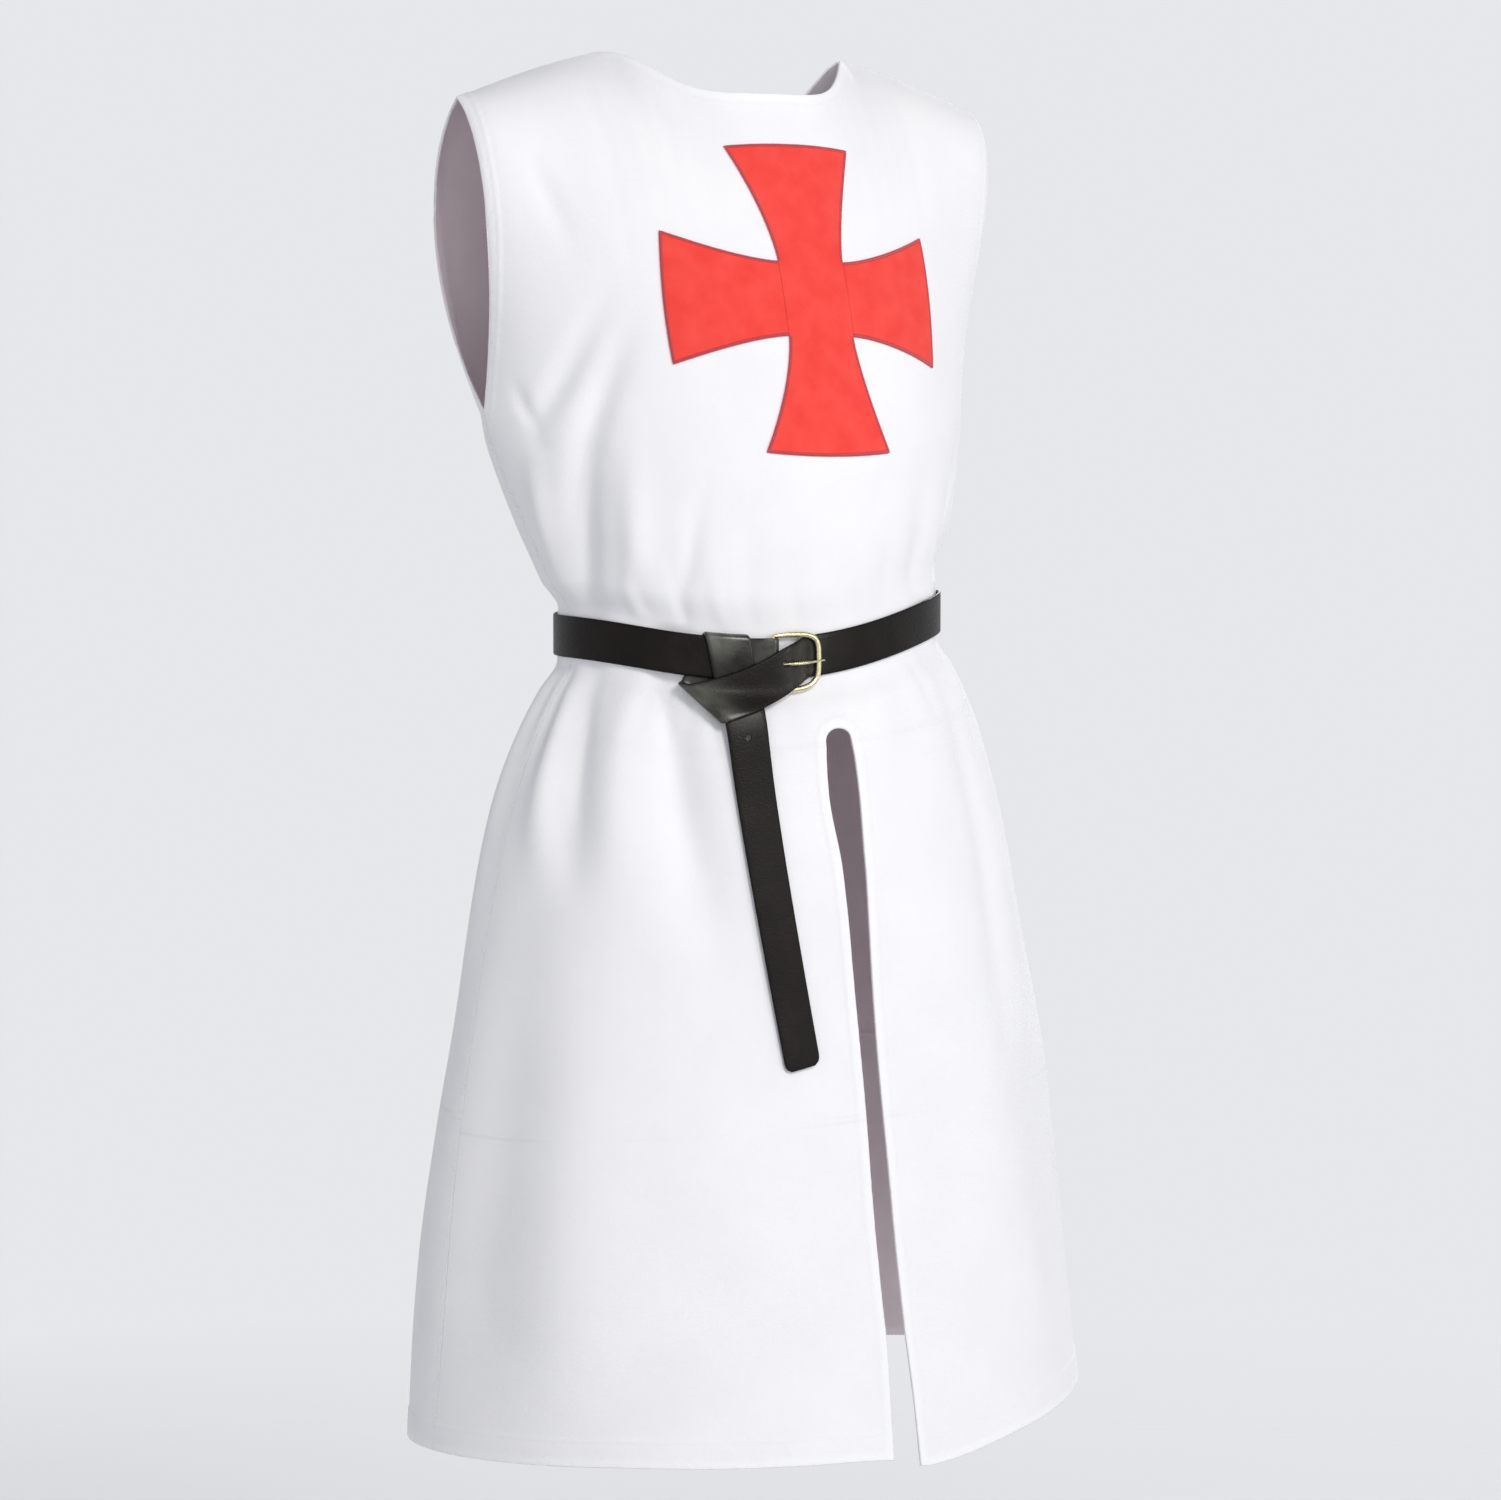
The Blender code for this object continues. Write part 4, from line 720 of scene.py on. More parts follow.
def red_twill():
    """Red cotton twill, woven with slanting ribs: matt and strong in colour.

    The ribs lie 0.8 mm apart; they are drawn 1.6 mm apart so that they show from nearby.
    """
    material, tree = new_material("red cotton twill, piece dyed")
    place = node(tree, "ShaderNodeUVMap", uv_map="cloth")
    rib = {"Vector": place, "Scale": math.pi / 5 / 0.0016 / math.sqrt(2), "Distortion": 1.0}
    ribs = node(tree, "ShaderNodeTexWave", rib, bands_direction="DIAGONAL").outputs["Fac"]
    fibre = node(tree, "ShaderNodeTexNoise", {"Vector": place, "Scale": 900.0})
    height = node(tree, "ShaderNodeMath", {0: fibre, 1: 0.6, 2: ribs}, operation="MULTIPLY_ADD")
    shape = node(tree, "ShaderNodeBump", {"Strength": 0.5, "Distance": 0.0003, "Height": height})
    # the dye takes unevenly in soft clouds; between the ribs the colour is darker, as painted shade
    cloud = node(tree, "ShaderNodeTexNoise", {"Vector": place, "Scale": 45.0, "Detail": 4.0})
    colour = toned(tree, cloud, (0.35, 0.65), "#f8463e", "#ff544b")
    colour = toned(tree, ribs, (0.0, 1.0), "#d83128", colour, (0.8, 1.0))
    matt = {"Roughness": 0.85, "Specular IOR Level": 0.25, "Sheen Weight": 0.08}
    shader = node(
        tree, "ShaderNodeBsdfPrincipled", {"Base Color": colour, **matt, "Normal": shape}
    )
    node(tree, "ShaderNodeOutputMaterial", {"Surface": shader})
    return material


def spun_thread(name, light, dark, roughness, sheen):
    """Spun thread, twisted from fine fibres: a soft gleam along each stitch, and painted shade, darker
    where the twist's relief is low.
    """
    material, tree = new_material(name)
    place = node(tree, "ShaderNodeTexCoord").outputs["Object"]
    twist = node(tree, "ShaderNodeTexNoise", {"Vector": place, "Scale": 1600.0})
    shape = node(tree, "ShaderNodeBump", {"Strength": 0.4, "Distance": 0.0001, "Height": twist})
    # painted shade: the colour darkens where the twist's relief is low
    colour = toned(tree, twist, (0.3, 0.7), dark, light)
    shader = node(
        tree,
        "ShaderNodeBsdfPrincipled",
        {"Base Color": colour, "Roughness": roughness, "Sheen Weight": sheen, "Normal": shape},
    )
    node(tree, "ShaderNodeOutputMaterial", {"Surface": shader})
    return material


def dyed_leather():
    """Vegetable-tanned cowhide, dyed brown-black and waxed: a fine grain with a soft polish,
    darker edges, shinier where it bends, and a greyer painted highlight on and round the bends."""
    material, tree = new_material("dyed and waxed cowhide")
    place = node(tree, "ShaderNodeUVMap", uv_map="strap")
    rim = node(tree, "ShaderNodeAttribute", attribute_name="rim").outputs["Fac"]
    bend = node(tree, "ShaderNodeAttribute", attribute_name="bend").outputs["Fac"]
    # the hide's pores are about 1 mm apart
    hide = {"Vector": place, "Scale": 950.0}
    cells = node(tree, "ShaderNodeTexVoronoi", hide, feature="SMOOTH_F1")
    domes = node(tree, "ShaderNodeMapRange", {"Value": cells, "From Min": 0.1, "From Max": 0.6})
    grain = node(tree, "ShaderNodeTexNoise", {"Vector": place, "Scale": 500.0, "Detail": 4.0})
    pores = node(tree, "ShaderNodeMath", {0: domes, 1: grain}, operation="ADD")
    across = node(tree, "ShaderNodeMapping", {"Vector": place, "Scale": (420.0, 60.0, 1.0)})
    wrinkle = node(tree, "ShaderNodeTexNoise", {"Vector": across, "Scale": 1.0, "Detail": 3.0})
    creased = node(tree, "ShaderNodeMath", {0: wrinkle, 1: bend}, operation="MULTIPLY")
    shape = node(tree, "ShaderNodeBump", {"Strength": 0.35, "Distance": 0.0004, "Height": pores})
    spread_round_bends = {"Strength": 0.6, "Distance": 0.0009, "Height": creased, "Normal": shape}
    shape = node(tree, "ShaderNodeBump", spread_round_bends)
    patch = node(tree, "ShaderNodeTexNoise", {"Vector": place, "Scale": 34.0, "Detail": 5.0})
    share = node(tree, "ShaderNodeMapRange", {"Value": patch, "From Min": 0.35, "From Max": 0.7})
    colour = node(
        tree, "ShaderNodeMix", {"Factor": share, "A": "#0f0b09", "B": "#1b1512"}, data_type="RGBA"
    )
    # painted highlight: on and round the bends the colour turns, in patches, towards a pale grey-green
    painted_highlight = node(tree, "ShaderNodeMath", {0: share, 1: bend}, operation="MULTIPLY")
    colour = node(
        tree, "ShaderNodeMix", {"Factor": painted_highlight, "A": colour, "B": "#6e6f65"}, data_type="RGBA"
    )
    colour = toned(tree, rim, (0.2, 0.9), colour, "#0e0b0a", (0.0, 0.8))
    # the wax lies unevenly, and rubbing has polished the bends
    uneven = {"From Min": 0.3, "From Max": 0.7, "To Min": 0.36, "To Max": 0.5}
    waxed = node(tree, "ShaderNodeMapRange", {"Value": grain, **uneven})
    polished = node(tree, "ShaderNodeMath", {0: bend, 1: -0.12, 2: waxed}, operation="MULTIPLY_ADD")
    shine = node(tree, "ShaderNodeMath", {0: bend, 1: 0.9}, operation="MULTIPLY")
    shader = node(
        tree,
        "ShaderNodeBsdfPrincipled",
        {
            "Base Color": colour,
            "Roughness": polished,
            "Specular IOR Level": 0.16,
            "Coat Weight": shine,
            "Coat Roughness": 0.24,
            "Normal": shape,
        },
    )
    node(tree, "ShaderNodeOutputMaterial", {"Surface": shader})
    return material


def cast_brass():
    """Pale yellow brass, sand cast and then tumbled: satin, with fine rubs from wear."""
    material, tree = new_material("cast and tumbled brass")
    place = node(tree, "ShaderNodeTexCoord").outputs["Object"]
    cast = node(tree, "ShaderNodeTexNoise", {"Vector": place, "Scale": 700.0, "Detail": 3.0})
    shape = node(tree, "ShaderNodeBump", {"Strength": 0.25, "Distance": 0.0002, "Height": cast})
    colour = toned(tree, cast, (0.35, 0.65), "#d8c998", "#f0e8c8")
    upright = node(tree, "ShaderNodeMapping", {"Vector": place, "Scale": (900.0, 900.0, 90.0)})
    rubs = node(tree, "ShaderNodeTexNoise", {"Vector": upright, "Scale": 1.0, "Detail": 4.0})
    uneven = {"From Min": 0.3, "From Max": 0.7, "To Min": 0.2, "To Max": 0.36}
    rough = node(tree, "ShaderNodeMapRange", {"Value": rubs, **uneven})
    shader = node(
        tree,
        "ShaderNodeBsdfPrincipled",
        {"Base Color": colour, "Metallic": 1.0, "Roughness": rough, "Normal": shape},
    )
    node(tree, "ShaderNodeOutputMaterial", {"Surface": shader})
    return material


# --- meshes ---


def add_mesh(name, points, faces, materials, edges=()):
    mesh = bpy.data.meshes.new(name)
    mesh.from_pydata([tuple(p) for p in points], list(edges), [tuple(f) for f in faces])
    for material in materials:
        mesh.materials.append(material)
    mesh.polygons.foreach_set("use_smooth", [True] * len(mesh.polygons))
    mesh.update()
    obj = bpy.data.objects.new(name, mesh)
    bpy.context.scene.collection.objects.link(obj)
    return obj


def set_values(obj, name, values, kind="FLOAT"):
    """Stores one value, or one vector, for each of the mesh's points."""
    attribute = obj.data.attributes.new(name, kind, "POINT")
    field = "vector" if kind == "FLOAT_VECTOR" else "value"
    attribute.data.foreach_set(field, np.asarray(values, np.float32).ravel())


def set_flat(obj, name, places):
    """Gives each point its place on the flat piece, in metres, as a UV map."""
    layer = obj.data.uv_layers.new(name=name)
    corner_points = np.empty(len(obj.data.loops), np.int32)
    obj.data.loops.foreach_get("vertex_index", corner_points)
    layer.data.foreach_set("uv", np.asarray(places, np.float32)[corner_points].ravel())


def as_mesh(obj):
    """Turns what an object's modifiers make into its own plain mesh, and removes the modifiers."""
    made = bpy.data.meshes.new_from_object(obj.evaluated_get(bpy.context.evaluated_depsgraph_get()))
    made.name = obj.name
    obj.modifiers.clear()
    obj.data = made
    return obj


def even_points(line, step):
    """Points at even steps along a line of points."""
    marks = lengths_along(line, 0)
    at = np.linspace(0, marks[-1], max(2, int(round(marks[-1] / step)) + 1))
    return np.stack([np.interp(at, marks, column) for column in line.T], axis=1)


def edge_distance(points, lines):
    """The distance from each point of a grid to the nearest of the lines."""
    near = np.concatenate([even_points(line, FINE_STEP) for line in lines])
    tree = kdtree.KDTree(len(near))
    for index, place in enumerate(near):
        tree.insert(place, index)
    tree.balance()
    return np.array([tree.find(p)[2] for p in points.reshape(-1, 3)]).reshape(points.shape[:-1])


# --- the cloth ---


def turned_profile(distance, band):
    """A turned edge's relief: rounded at the fold, flat, dented by its stitches, then the ground."""
    rounded = np.sqrt(np.clip(1 - (1 - np.clip(distance / TURN_ROUND, 0, 1)) ** 2, 0, 1))
    step = 1 - smooth_step((distance - band) / TURN_STEP)
    dent = DENT * np.exp(-(((distance - band + SEWN_INSET) / DENT_WIDTH) ** 2))
    return (rounded * step - dent) * TURNING


def cloth_wall(name, outer, inner, flat, kept, materials, faced=None):
    """A closed wall of cloth between two grids of points. kept marks the cells that are there,
    and faced those that show the first material inside too."""
    columns, count = outer.shape[1], outer.shape[0] * outer.shape[1]
    faces, tones, border = [], [], {}
    for row, column in np.argwhere(kept).tolist():
        corner = row * columns + column
        quad = [corner, corner + 1, corner + 1 + columns, corner + columns]
        faces += [quad, [index + count for index in reversed(quad)]]
        tones += [0, 0 if faced is not None and faced[row, column] else len(materials) - 1]
        border.update(dict.fromkeys(zip(quad, quad[1:] + quad[:1])))
    rim = [(start, end) for start, end in border if (end, start) not in border]
    faces += [[end, start, start + count, end + count] for start, end in rim]
    tones += [0] * len(rim)
    used, places = np.unique(faces, return_inverse=True)
    points = np.concatenate([outer.reshape(-1, 3), inner.reshape(-1, 3)])[used]
    obj = add_mesh(name, points, places.reshape(-1, 4).tolist(), materials)
    obj.data.polygons.foreach_set("material_index", tones)
    set_flat(obj, "cloth", np.concatenate([flat.reshape(-1, 2)] * 2)[used])
    return obj, used


def fine_heights():
    """The rows of both panels, closest at the hem's fold and its stitches."""
    foot = [0, 0.6, 1.6, 4, 9, 14.5, 16.5, 17.5, 18.5, 20, 21.2, 22.2, 25]  # mm above the hem
    top = [11.5, 9.5, 8, 6.5, 4.5, 2.5, 1.2, 0.4, 0]  # mm below the top edge
    skirt = np.linspace(HEM + 0.030, SLIT_TOP, 88)
    waist = np.linspace(SLIT_TOP, -0.34, 46)[1:]
    chest = np.linspace(-0.34, UNDERARM, 17)[1:]
    yoke = np.linspace(UNDERARM, -0.014, 52)[1:]
    ends = HEM + np.array(foot) / 1000, -np.array(top) / 1000
    return np.concatenate([ends[0], skirt, waist, chest, yoke, ends[1]])


def side_marks(first, last, step):
    """Columns from first to last, closer together next to the last, where the edge turns."""
    near = last - np.radians([3.6, 3.0, 2.5, 2.0, 1.5, 1.0, 0.55, 0.2, 0.0])
    count = int(round((near[0] - first) / math.radians(step)))
    return np.concatenate([np.linspace(first, near[0], count + 1)[:-1], near])


def upper_edges(columns, rows):
    """The turned edges of a panel's neck and armholes, its underarm row and its neck's columns."""
    neck = np.nonzero(np.abs(np.sin(columns)) * SHOULDER_HALF < NECK_HALF + 1e-6)[0]
    under = int(np.argmin(np.abs(rows - UNDERARM)))
    lines = np.s_[-1, neck], np.s_[under:, 0], np.s_[under:, -1]
    return [([line], EDGE_BAND) for line in lines], under, neck


def panel(name, angles, heights, part_y, kept, edges, seams, materials):
    """One sewn panel, and the edge and inset of each line of its stitches. edges lists the turned
    edges, as the grid lines that make one up and its band; seams are grid lines, only sewn."""
    plain = cloth_point(angles, heights) + (0, part_y, 0)
    normal = unit(np.cross(np.gradient(plain, axis=1), np.gradient(plain, axis=0)))
    to_edge, relief = np.ones(angles.shape), np.zeros(angles.shape)
    sewn = []
    for parts, band in edges:
        parts = [plain[part] for part in parts]
        distance = edge_distance(plain, parts)
        shaped = turned_profile(distance, band)
        relief = np.where(np.abs(shaped) > np.abs(relief), shaped, relief)
        to_edge = np.minimum(to_edge, distance)
        sewn.append((np.concatenate(parts), band - SEWN_INSET))
    sewn += [(plain[seam], SEAM_INSET) for seam in seams]
    middle = angles.shape[1] // 2
    across = lengths_along(plain, 1)
    across -= across[:, middle : middle + 1]
    rise = np.broadcast_to(lengths_along(plain[:, middle : middle + 1], 0), across.shape)
    flat = np.stack([across, rise], axis=-1)
    near_neck = np.abs(np.sin(angles)) * SHOULDER_HALF < NECK_HALF + NECK_FACING
    faced = near_neck & (heights > -NECK_FACING)
    outer, inner = plain + relief[..., None] * normal, plain - CLOTH_THICK * normal
    obj, used = cloth_wall(name, outer, inner, flat, kept, materials, faced)
    set_values(obj, "to_edge", np.concatenate([to_edge.ravel()] * 2)[used])
    return obj, sewn


def front_cloth(materials):
    """The front panel, with its slit's edges drawn apart below a half-round top."""
    arc = SLIT_COLUMN * np.sin(np.linspace(0, math.pi / 2, SLIT_CELLS + 1))
    lip = SLIT_COLUMN + np.radians([0.25, 0.5, 0.9, 1.4, 1.8, 2.1, 2.5, 3.1, 3.9])
    half = np.concatenate([arc, lip, side_marks(lip[-1] + math.radians(1.0), QUARTER, FRONT_COLUMN)])
    columns, rows = np.concatenate([-half[:0:-1], half]), fine_heights()
    angles, heights = np.meshgrid(columns, rows)
    gap = read_table(SLIT, np.clip(heights, HEM, SLIT_TOP)).half_gap
    opened = smooth_step((SLIT_TOP + SLIT_EASE - heights) / SLIT_EASE)
    edge = SLIT_COLUMN + (np.arcsin(gap / half_width(heights)) - SLIT_COLUMN) * opened
    away = np.abs(angles)
    beyond = (away - SLIT_COLUMN) / (QUARTER - SLIT_COLUMN)
    drawn = np.where(
        away >= SLIT_COLUMN - 1e-9, edge + beyond * (QUARTER - edge), away / SLIT_COLUMN * edge
    )
    arch = SLIT_ARCH * np.sqrt(np.clip(1 - (away / SLIT_COLUMN) ** 2, 0, None))
    give = np.clip(1 - (heights - SLIT_TOP) / SLIT_EASE, 0, 1)
    arched = heights + np.where(heights > SLIT_TOP - 1e-9, arch * give, 0)
    top, centre = int(np.argmin(np.abs(rows - SLIT_TOP))), len(columns) // 2
    left, right = centre - SLIT_CELLS, centre + SLIT_CELLS
    kept = np.ones((len(rows) - 1, len(columns) - 1), bool)
    kept[:top, left:right] = False
    upper, _, _ = upper_edges(columns, rows)
    slit = [np.s_[: top + 1, left], np.s_[top, left : right + 1], np.s_[top::-1, right]]
    edges = [
        ([np.s_[0, : left + 1]], HEM_BAND), ([np.s_[0, right:]], HEM_BAND), (slit, SLIT_BAND), *upper
    ]
    drawn = np.sign(angles) * drawn
    return panel("front_cloth", drawn, arched, -SEAM_GAP / 2, kept, edges, [], materials)


def back_cloth(materials):
    """The back panel, with the stitches that run beside the side and shoulder seams."""
    side = side_marks(math.radians(29.9), QUARTER, BACK_COLUMN)
    half = np.concatenate([np.radians(np.arange(0, 29, BACK_COLUMN)), side])
    columns, rows = math.pi + np.concatenate([-half[:0:-1], half]), fine_heights()
    kept = np.ones((len(rows) - 1, len(columns) - 1), bool)
    upper, under, neck = upper_edges(columns, rows)
    edges = [([np.s_[0, :]], HEM_BAND), *upper]
    sides = [np.s_[ABOVE_HEM:under, 0], np.s_[ABOVE_HEM:under, -1]]
    seams = [*sides, np.s_[-1, : neck[0]], np.s_[-1, neck[-1] + 1 :]]
    grid = np.meshgrid(columns, rows)
    return panel("back_cloth", *grid, SEAM_GAP / 2, kept, edges, seams, materials)


def cross_place(distance, share, end, upright, lift):
    """Points on the cross: distance along a bar, share of its half width, lift off the cloth."""
    across = share * cross_half_width(np.abs(distance), end)
    out_there = np.clip(np.abs(distance) / CROSS_HALF, 0, 1) ** 4
    distance = distance + np.sign(distance) * CROSS_BULGE * (1 - share**2) * out_there
    x, rise = (across, distance) if upright else (distance, -across)
    aside, upward = CROSS_SCALE
    angle, height = find_on_front(CROSS_SHIFT + aside * x, CROSS_HEIGHT + upward * rise)
    normal = normal_of(cloth_point, angle, height)
    point = cloth_point(angle, height) + (0, -SEAM_GAP / 2, 0)
    return point + lift * normal, normal, np.stack([x, rise], axis=-1)


def cross_bar(name, distances, end, upright, material):
    """One bar of the cross, cut from twill and laid on the chest."""
    share = np.sin(np.linspace(math.pi / 2, -math.pi / 2, 41))
    bar = [*np.meshgrid(distances, share, indexing="ij"), end, upright]
    (under, _, flat), (over, _, _) = [cross_place(*bar, lift) for lift in (CROSS_UNDER, CROSS_OVER)]
    kept = np.ones((len(distances) - 1, len(share) - 1), bool)
    return cloth_wall(name, over, under, flat, kept, [material])[0]


def satin_line(near, end, upright, hand):
    """The line under the satin stitches that bind one arm's two sides and its end."""
    inset = SATIN_WIDTH / 2 - SATIN_OVER
    side = np.linspace(near, CROSS_HALF - inset, 90)
    edge = 1 - inset / cross_half_width(side, end)
    turn = np.linspace(1, -1, 60)[1:-1] * edge[-1]
    distance = hand * np.concatenate([side, np.full(len(turn), side[-1]), side[::-1]])
    share = np.concatenate([edge, turn, -edge[::-1]])
    point, normal, _ = cross_place(distance, share, end, upright, CROSS_OVER - SATIN_SINK)
    line = even_points(np.concatenate([point, normal], axis=1), FINE_STEP)
    point, normal = line[:, :3], line[:, 3:]
    return point, normal, np.cross(normal, np.gradient(point, axis=0))


def sewn_line(surface, edge, inset):
    """A line of machine stitches, set in from an edge and laid on the surface."""
    line = even_points(edge, SEWN_STEP)
    normal = np.array([tuple(surface.find_nearest(Vector(p))[1]) for p in line])
    away = unit(np.cross(normal, np.gradient(line, axis=0)))
    tries = [
        [surface.find_nearest(Vector(p)) for p in line + hand * inset * away] for hand in (1, -1)
    ]
    # past the edge there is no cloth, so the line that lies closest is the one set in
    laid = min(tries, key=lambda found: np.mean([near[3] for near in found]))
    point = np.array([tuple(near[0]) for near in laid])
    normal = np.array([tuple(near[1]) for near in laid])
    # the edge's own faces point sideways, so the way out is smoothed along the line
    padded = np.pad(normal, ((4, 4), (0, 0)), mode="edge")
    normal = np.stack([np.convolve(way, MEAN_OF_NINE, mode="valid") for way in padded.T], axis=1)
    return point + SEWN_LIFT * normal, normal, np.gradient(point, axis=0)


# --- stitches, by geometry nodes ---


def stitch_tree(name):
    """A tree that lays one stitch at every pitch along its lines.

    Each point carries two directions: `way`, which the stitch lies along, and `out`.
    """
    tree = bpy.data.node_groups.new(name, "GeometryNodeTree")
    kinds = {"Lines": "Geometry", **dict.fromkeys(SEWING, "Float"), "Thread": "Material"}
    sockets = {}
    for label, kind in kinds.items():
        item = tree.interface.new_socket(label, in_out="INPUT", socket_type="NodeSocket" + kind)
        sockets[label] = item.identifier
    tree.interface.new_socket("Stitches", in_out="OUTPUT", socket_type="NodeSocketGeometry")
    given = node(tree, "NodeGroupInput").outputs
    curves = node(tree, "GeometryNodeMeshToCurve", {"Mesh": given["Lines"]})
    spacing = {"Curve": curves, "Length": given["Pitch"]}
    points = node(tree, "GeometryNodeResampleCurve", spacing, mode="LENGTH")
    shape = node(tree, "GeometryNodeMeshUVSphere", {"Segments": 6, "Rings": 4, "Radius": 0.5})
    soft = node(tree, "GeometryNodeSetShadeSmooth", {"Geometry": shape})
    way, out = [
        node(tree, "GeometryNodeInputNamedAttribute", {"Name": label}, data_type="FLOAT_VECTOR")
        for label in ("way", "out")
    ]
    turned = node(
        tree, "FunctionNodeAxesToRotation", {0: way, 1: out}, primary_axis="X", secondary_axis="Z"
    )
    lengths = {0: given["Length"], 1: given["Width"], 2: given["Height"]}
    size = node(tree, "ShaderNodeCombineXYZ", lengths)
    least = node(tree, "ShaderNodeMath", {0: 1.0, 1: given["Unevenness"]}, operation="SUBTRACT")
    uneven = node(
        tree, "FunctionNodeRandomValue", {"Min": least, "Max": 1.0, "Seed": 7}, data_type="FLOAT"
    )
    scaled = node(tree, "ShaderNodeVectorMath", {0: size, "Scale": uneven}, operation="SCALE")
    placed = {"Points": points, "Instance": soft, "Rotation": turned, "Scale": scaled}
    laid = node(tree, "GeometryNodeInstanceOnPoints", placed)
    real = node(tree, "GeometryNodeRealizeInstances", {"Geometry": laid})
    dyed = node(tree, "GeometryNodeSetMaterial", {"Geometry": real, "Material": given["Thread"]})
    node(tree, "NodeGroupOutput", {0: dyed})
    return tree, sockets


def stitches(name, recipe, lines, thread, sizes):
    """A piece made of stitches laid along lines of (points, ways out, ways along)."""
    tree, sockets = recipe
    points, out, way = [np.concatenate(parts) for parts in zip(*lines)]
    starts = np.cumsum([0] + [len(line[0]) for line in lines])
    edges = [(i, i + 1) for a, b in zip(starts, starts[1:]) for i in range(a, b - 1)]
    obj = add_mesh(name, points, [], [thread], edges)
    set_values(obj, "out", out, "FLOAT_VECTOR")
    set_values(obj, "way", way, "FLOAT_VECTOR")
    sewing = obj.modifiers.new("sewing", "NODES")
    sewing.node_group = tree
    for label, value in {**sizes, "Thread": thread}.items():
        sewing[sockets[label]] = value
    return as_mesh(obj)


# --- the belt ---


def strap_outline():
    """A flat strap's section with round edges, as (across, through) in metres."""
    half, round_ = BELT_WIDTH / 2, BELT_WALL / 2
    flat = np.linspace(half - round_, round_ - half, 11)
    turn = np.linspace(0, math.pi, 7)[1:-1]
    left = np.stack([-(half - round_) - round_ * np.sin(turn), round_ * np.cos(turn)], axis=1)
    face = np.stack([flat, np.full(11, round_)], axis=1)
    return np.concatenate([face, left, -face, -left])


def strap_skin(route):
    """Rings of belt places round the strap, along its route."""
    places, lean = route[:, :3], np.radians(route[:, 3])
    along = unit(np.gradient(places, axis=0))
    width_way = np.stack([-np.sin(lean), np.cos(lean), 0 * lean], axis=1)
    facing = np.cross(width_way, along)
    square = np.linalg.norm(facing, axis=1, keepdims=True)
    rings = [places + (width_way * a + facing * b) / square for a, b in strap_outline()]
    return np.stack(rings, axis=1)


def tube(name, rings, material, closed=False):
    """A skin over rings of points, which closes on itself or has its two ends filled."""
    count, sides = rings.shape[:2]
    ends = [list(range(sides)), list(reversed(range((count - 1) * sides, count * sides)))]
    faces = [] if closed else ends
    for i in range(count if closed else count - 1):
        here, there = i * sides, (i + 1) % count * sides
        for a in range(sides):
            b = (a + 1) % sides
            faces.append([here + b, here + a, there + a, there + b])
    obj = add_mesh(name, rings.reshape(-1, 3), faces, [material])
    solid = bmesh.new()
    solid.from_mesh(obj.data)
    bmesh.ops.recalc_face_normals(solid, faces=solid.faces)
    solid.to_mesh(obj.data)
    solid.free()
    return obj


def leather_strap(material):
    """The strap: round the hinge bar, round the waist, through the buckle and the knot."""
    start, end = smooth_route(STRAP_START, ROUTE_STEP), smooth_route(STRAP_END, ROUTE_STEP)
    waist_end = belt_ring(0, 2 * math.pi)[1][-1] - STRAP_END[0].along
    waist = np.linspace(-STRAP_START[-1].along, waist_end, WAIST_RINGS)[1:-1]
    waist = np.stack([-waist, 0 * waist, 0 * waist + BELT_WALL / 2 + LAY_GAP, 0 * waist], axis=1)
    rings = np.concatenate([strap_skin(np.concatenate([start, waist])), strap_skin(end)])
    # the tip's corners are rounded off
    for back, share in ((1, 0.70), (2, 0.90), (3, 0.97)):
        middle = rings[-back].mean(axis=0)
        rings[-back] = middle + share * (rings[-back] - middle)
    points = belt_place(*np.moveaxis(rings, 2, 0))
    strap = tube("leather_strap", points, material)
    outline, middle = strap_outline(), points.mean(axis=1)
    run = lengths_along(middle, 0)
    flat = np.stack(np.broadcast_arrays(run[:, None], outline[None, :, 0]), axis=-1)
    set_flat(strap, "strap", flat.reshape(-1, 2))
    # the darker rim fades in from 2.2 to 0.6 half walls short of the strap's side
    half, wall = BELT_WIDTH / 2, BELT_WALL / 2
    rim = np.clip((np.abs(outline[:, 0]) - (half - wall * 2.2)) / (wall * 1.6), 0, 1)
    set_values(strap, "rim", np.broadcast_to(rim, points.shape[:2]))
    # how hard the leather bends, which opens its grain
    turning = np.gradient(unit(np.gradient(middle, axis=0)), axis=0)
    bent = np.linalg.norm(turning, axis=1) / np.gradient(run)
    bent = np.clip((bent - BEND_SHOWS) / (BEND_WHOLE - BEND_SHOWS), 0, 1)
    bent = np.convolve(bent, MEAN_OF_NINE, mode="same")
    # the bend's mask is spread over two or three centimetres round each bend, for the polish and for the
    # painted highlight round the knot
    window = np.hanning(33)
    spread_round_bends = 2.0 * np.convolve(bent, window / window.sum(), mode="same")
    bent = np.clip(np.maximum(bent, spread_round_bends), 0, 1)
    set_values(strap, "bend", np.broadcast_to(bent[:, None], points.shape[:2]))
    cutters = [punch(strap, hole) for hole in HOLES]
    as_mesh(strap)
    for cutter in cutters:
        bpy.data.objects.remove(cutter)
    strap.data.set_sharp_from_angle(angle=math.radians(50))
    return strap


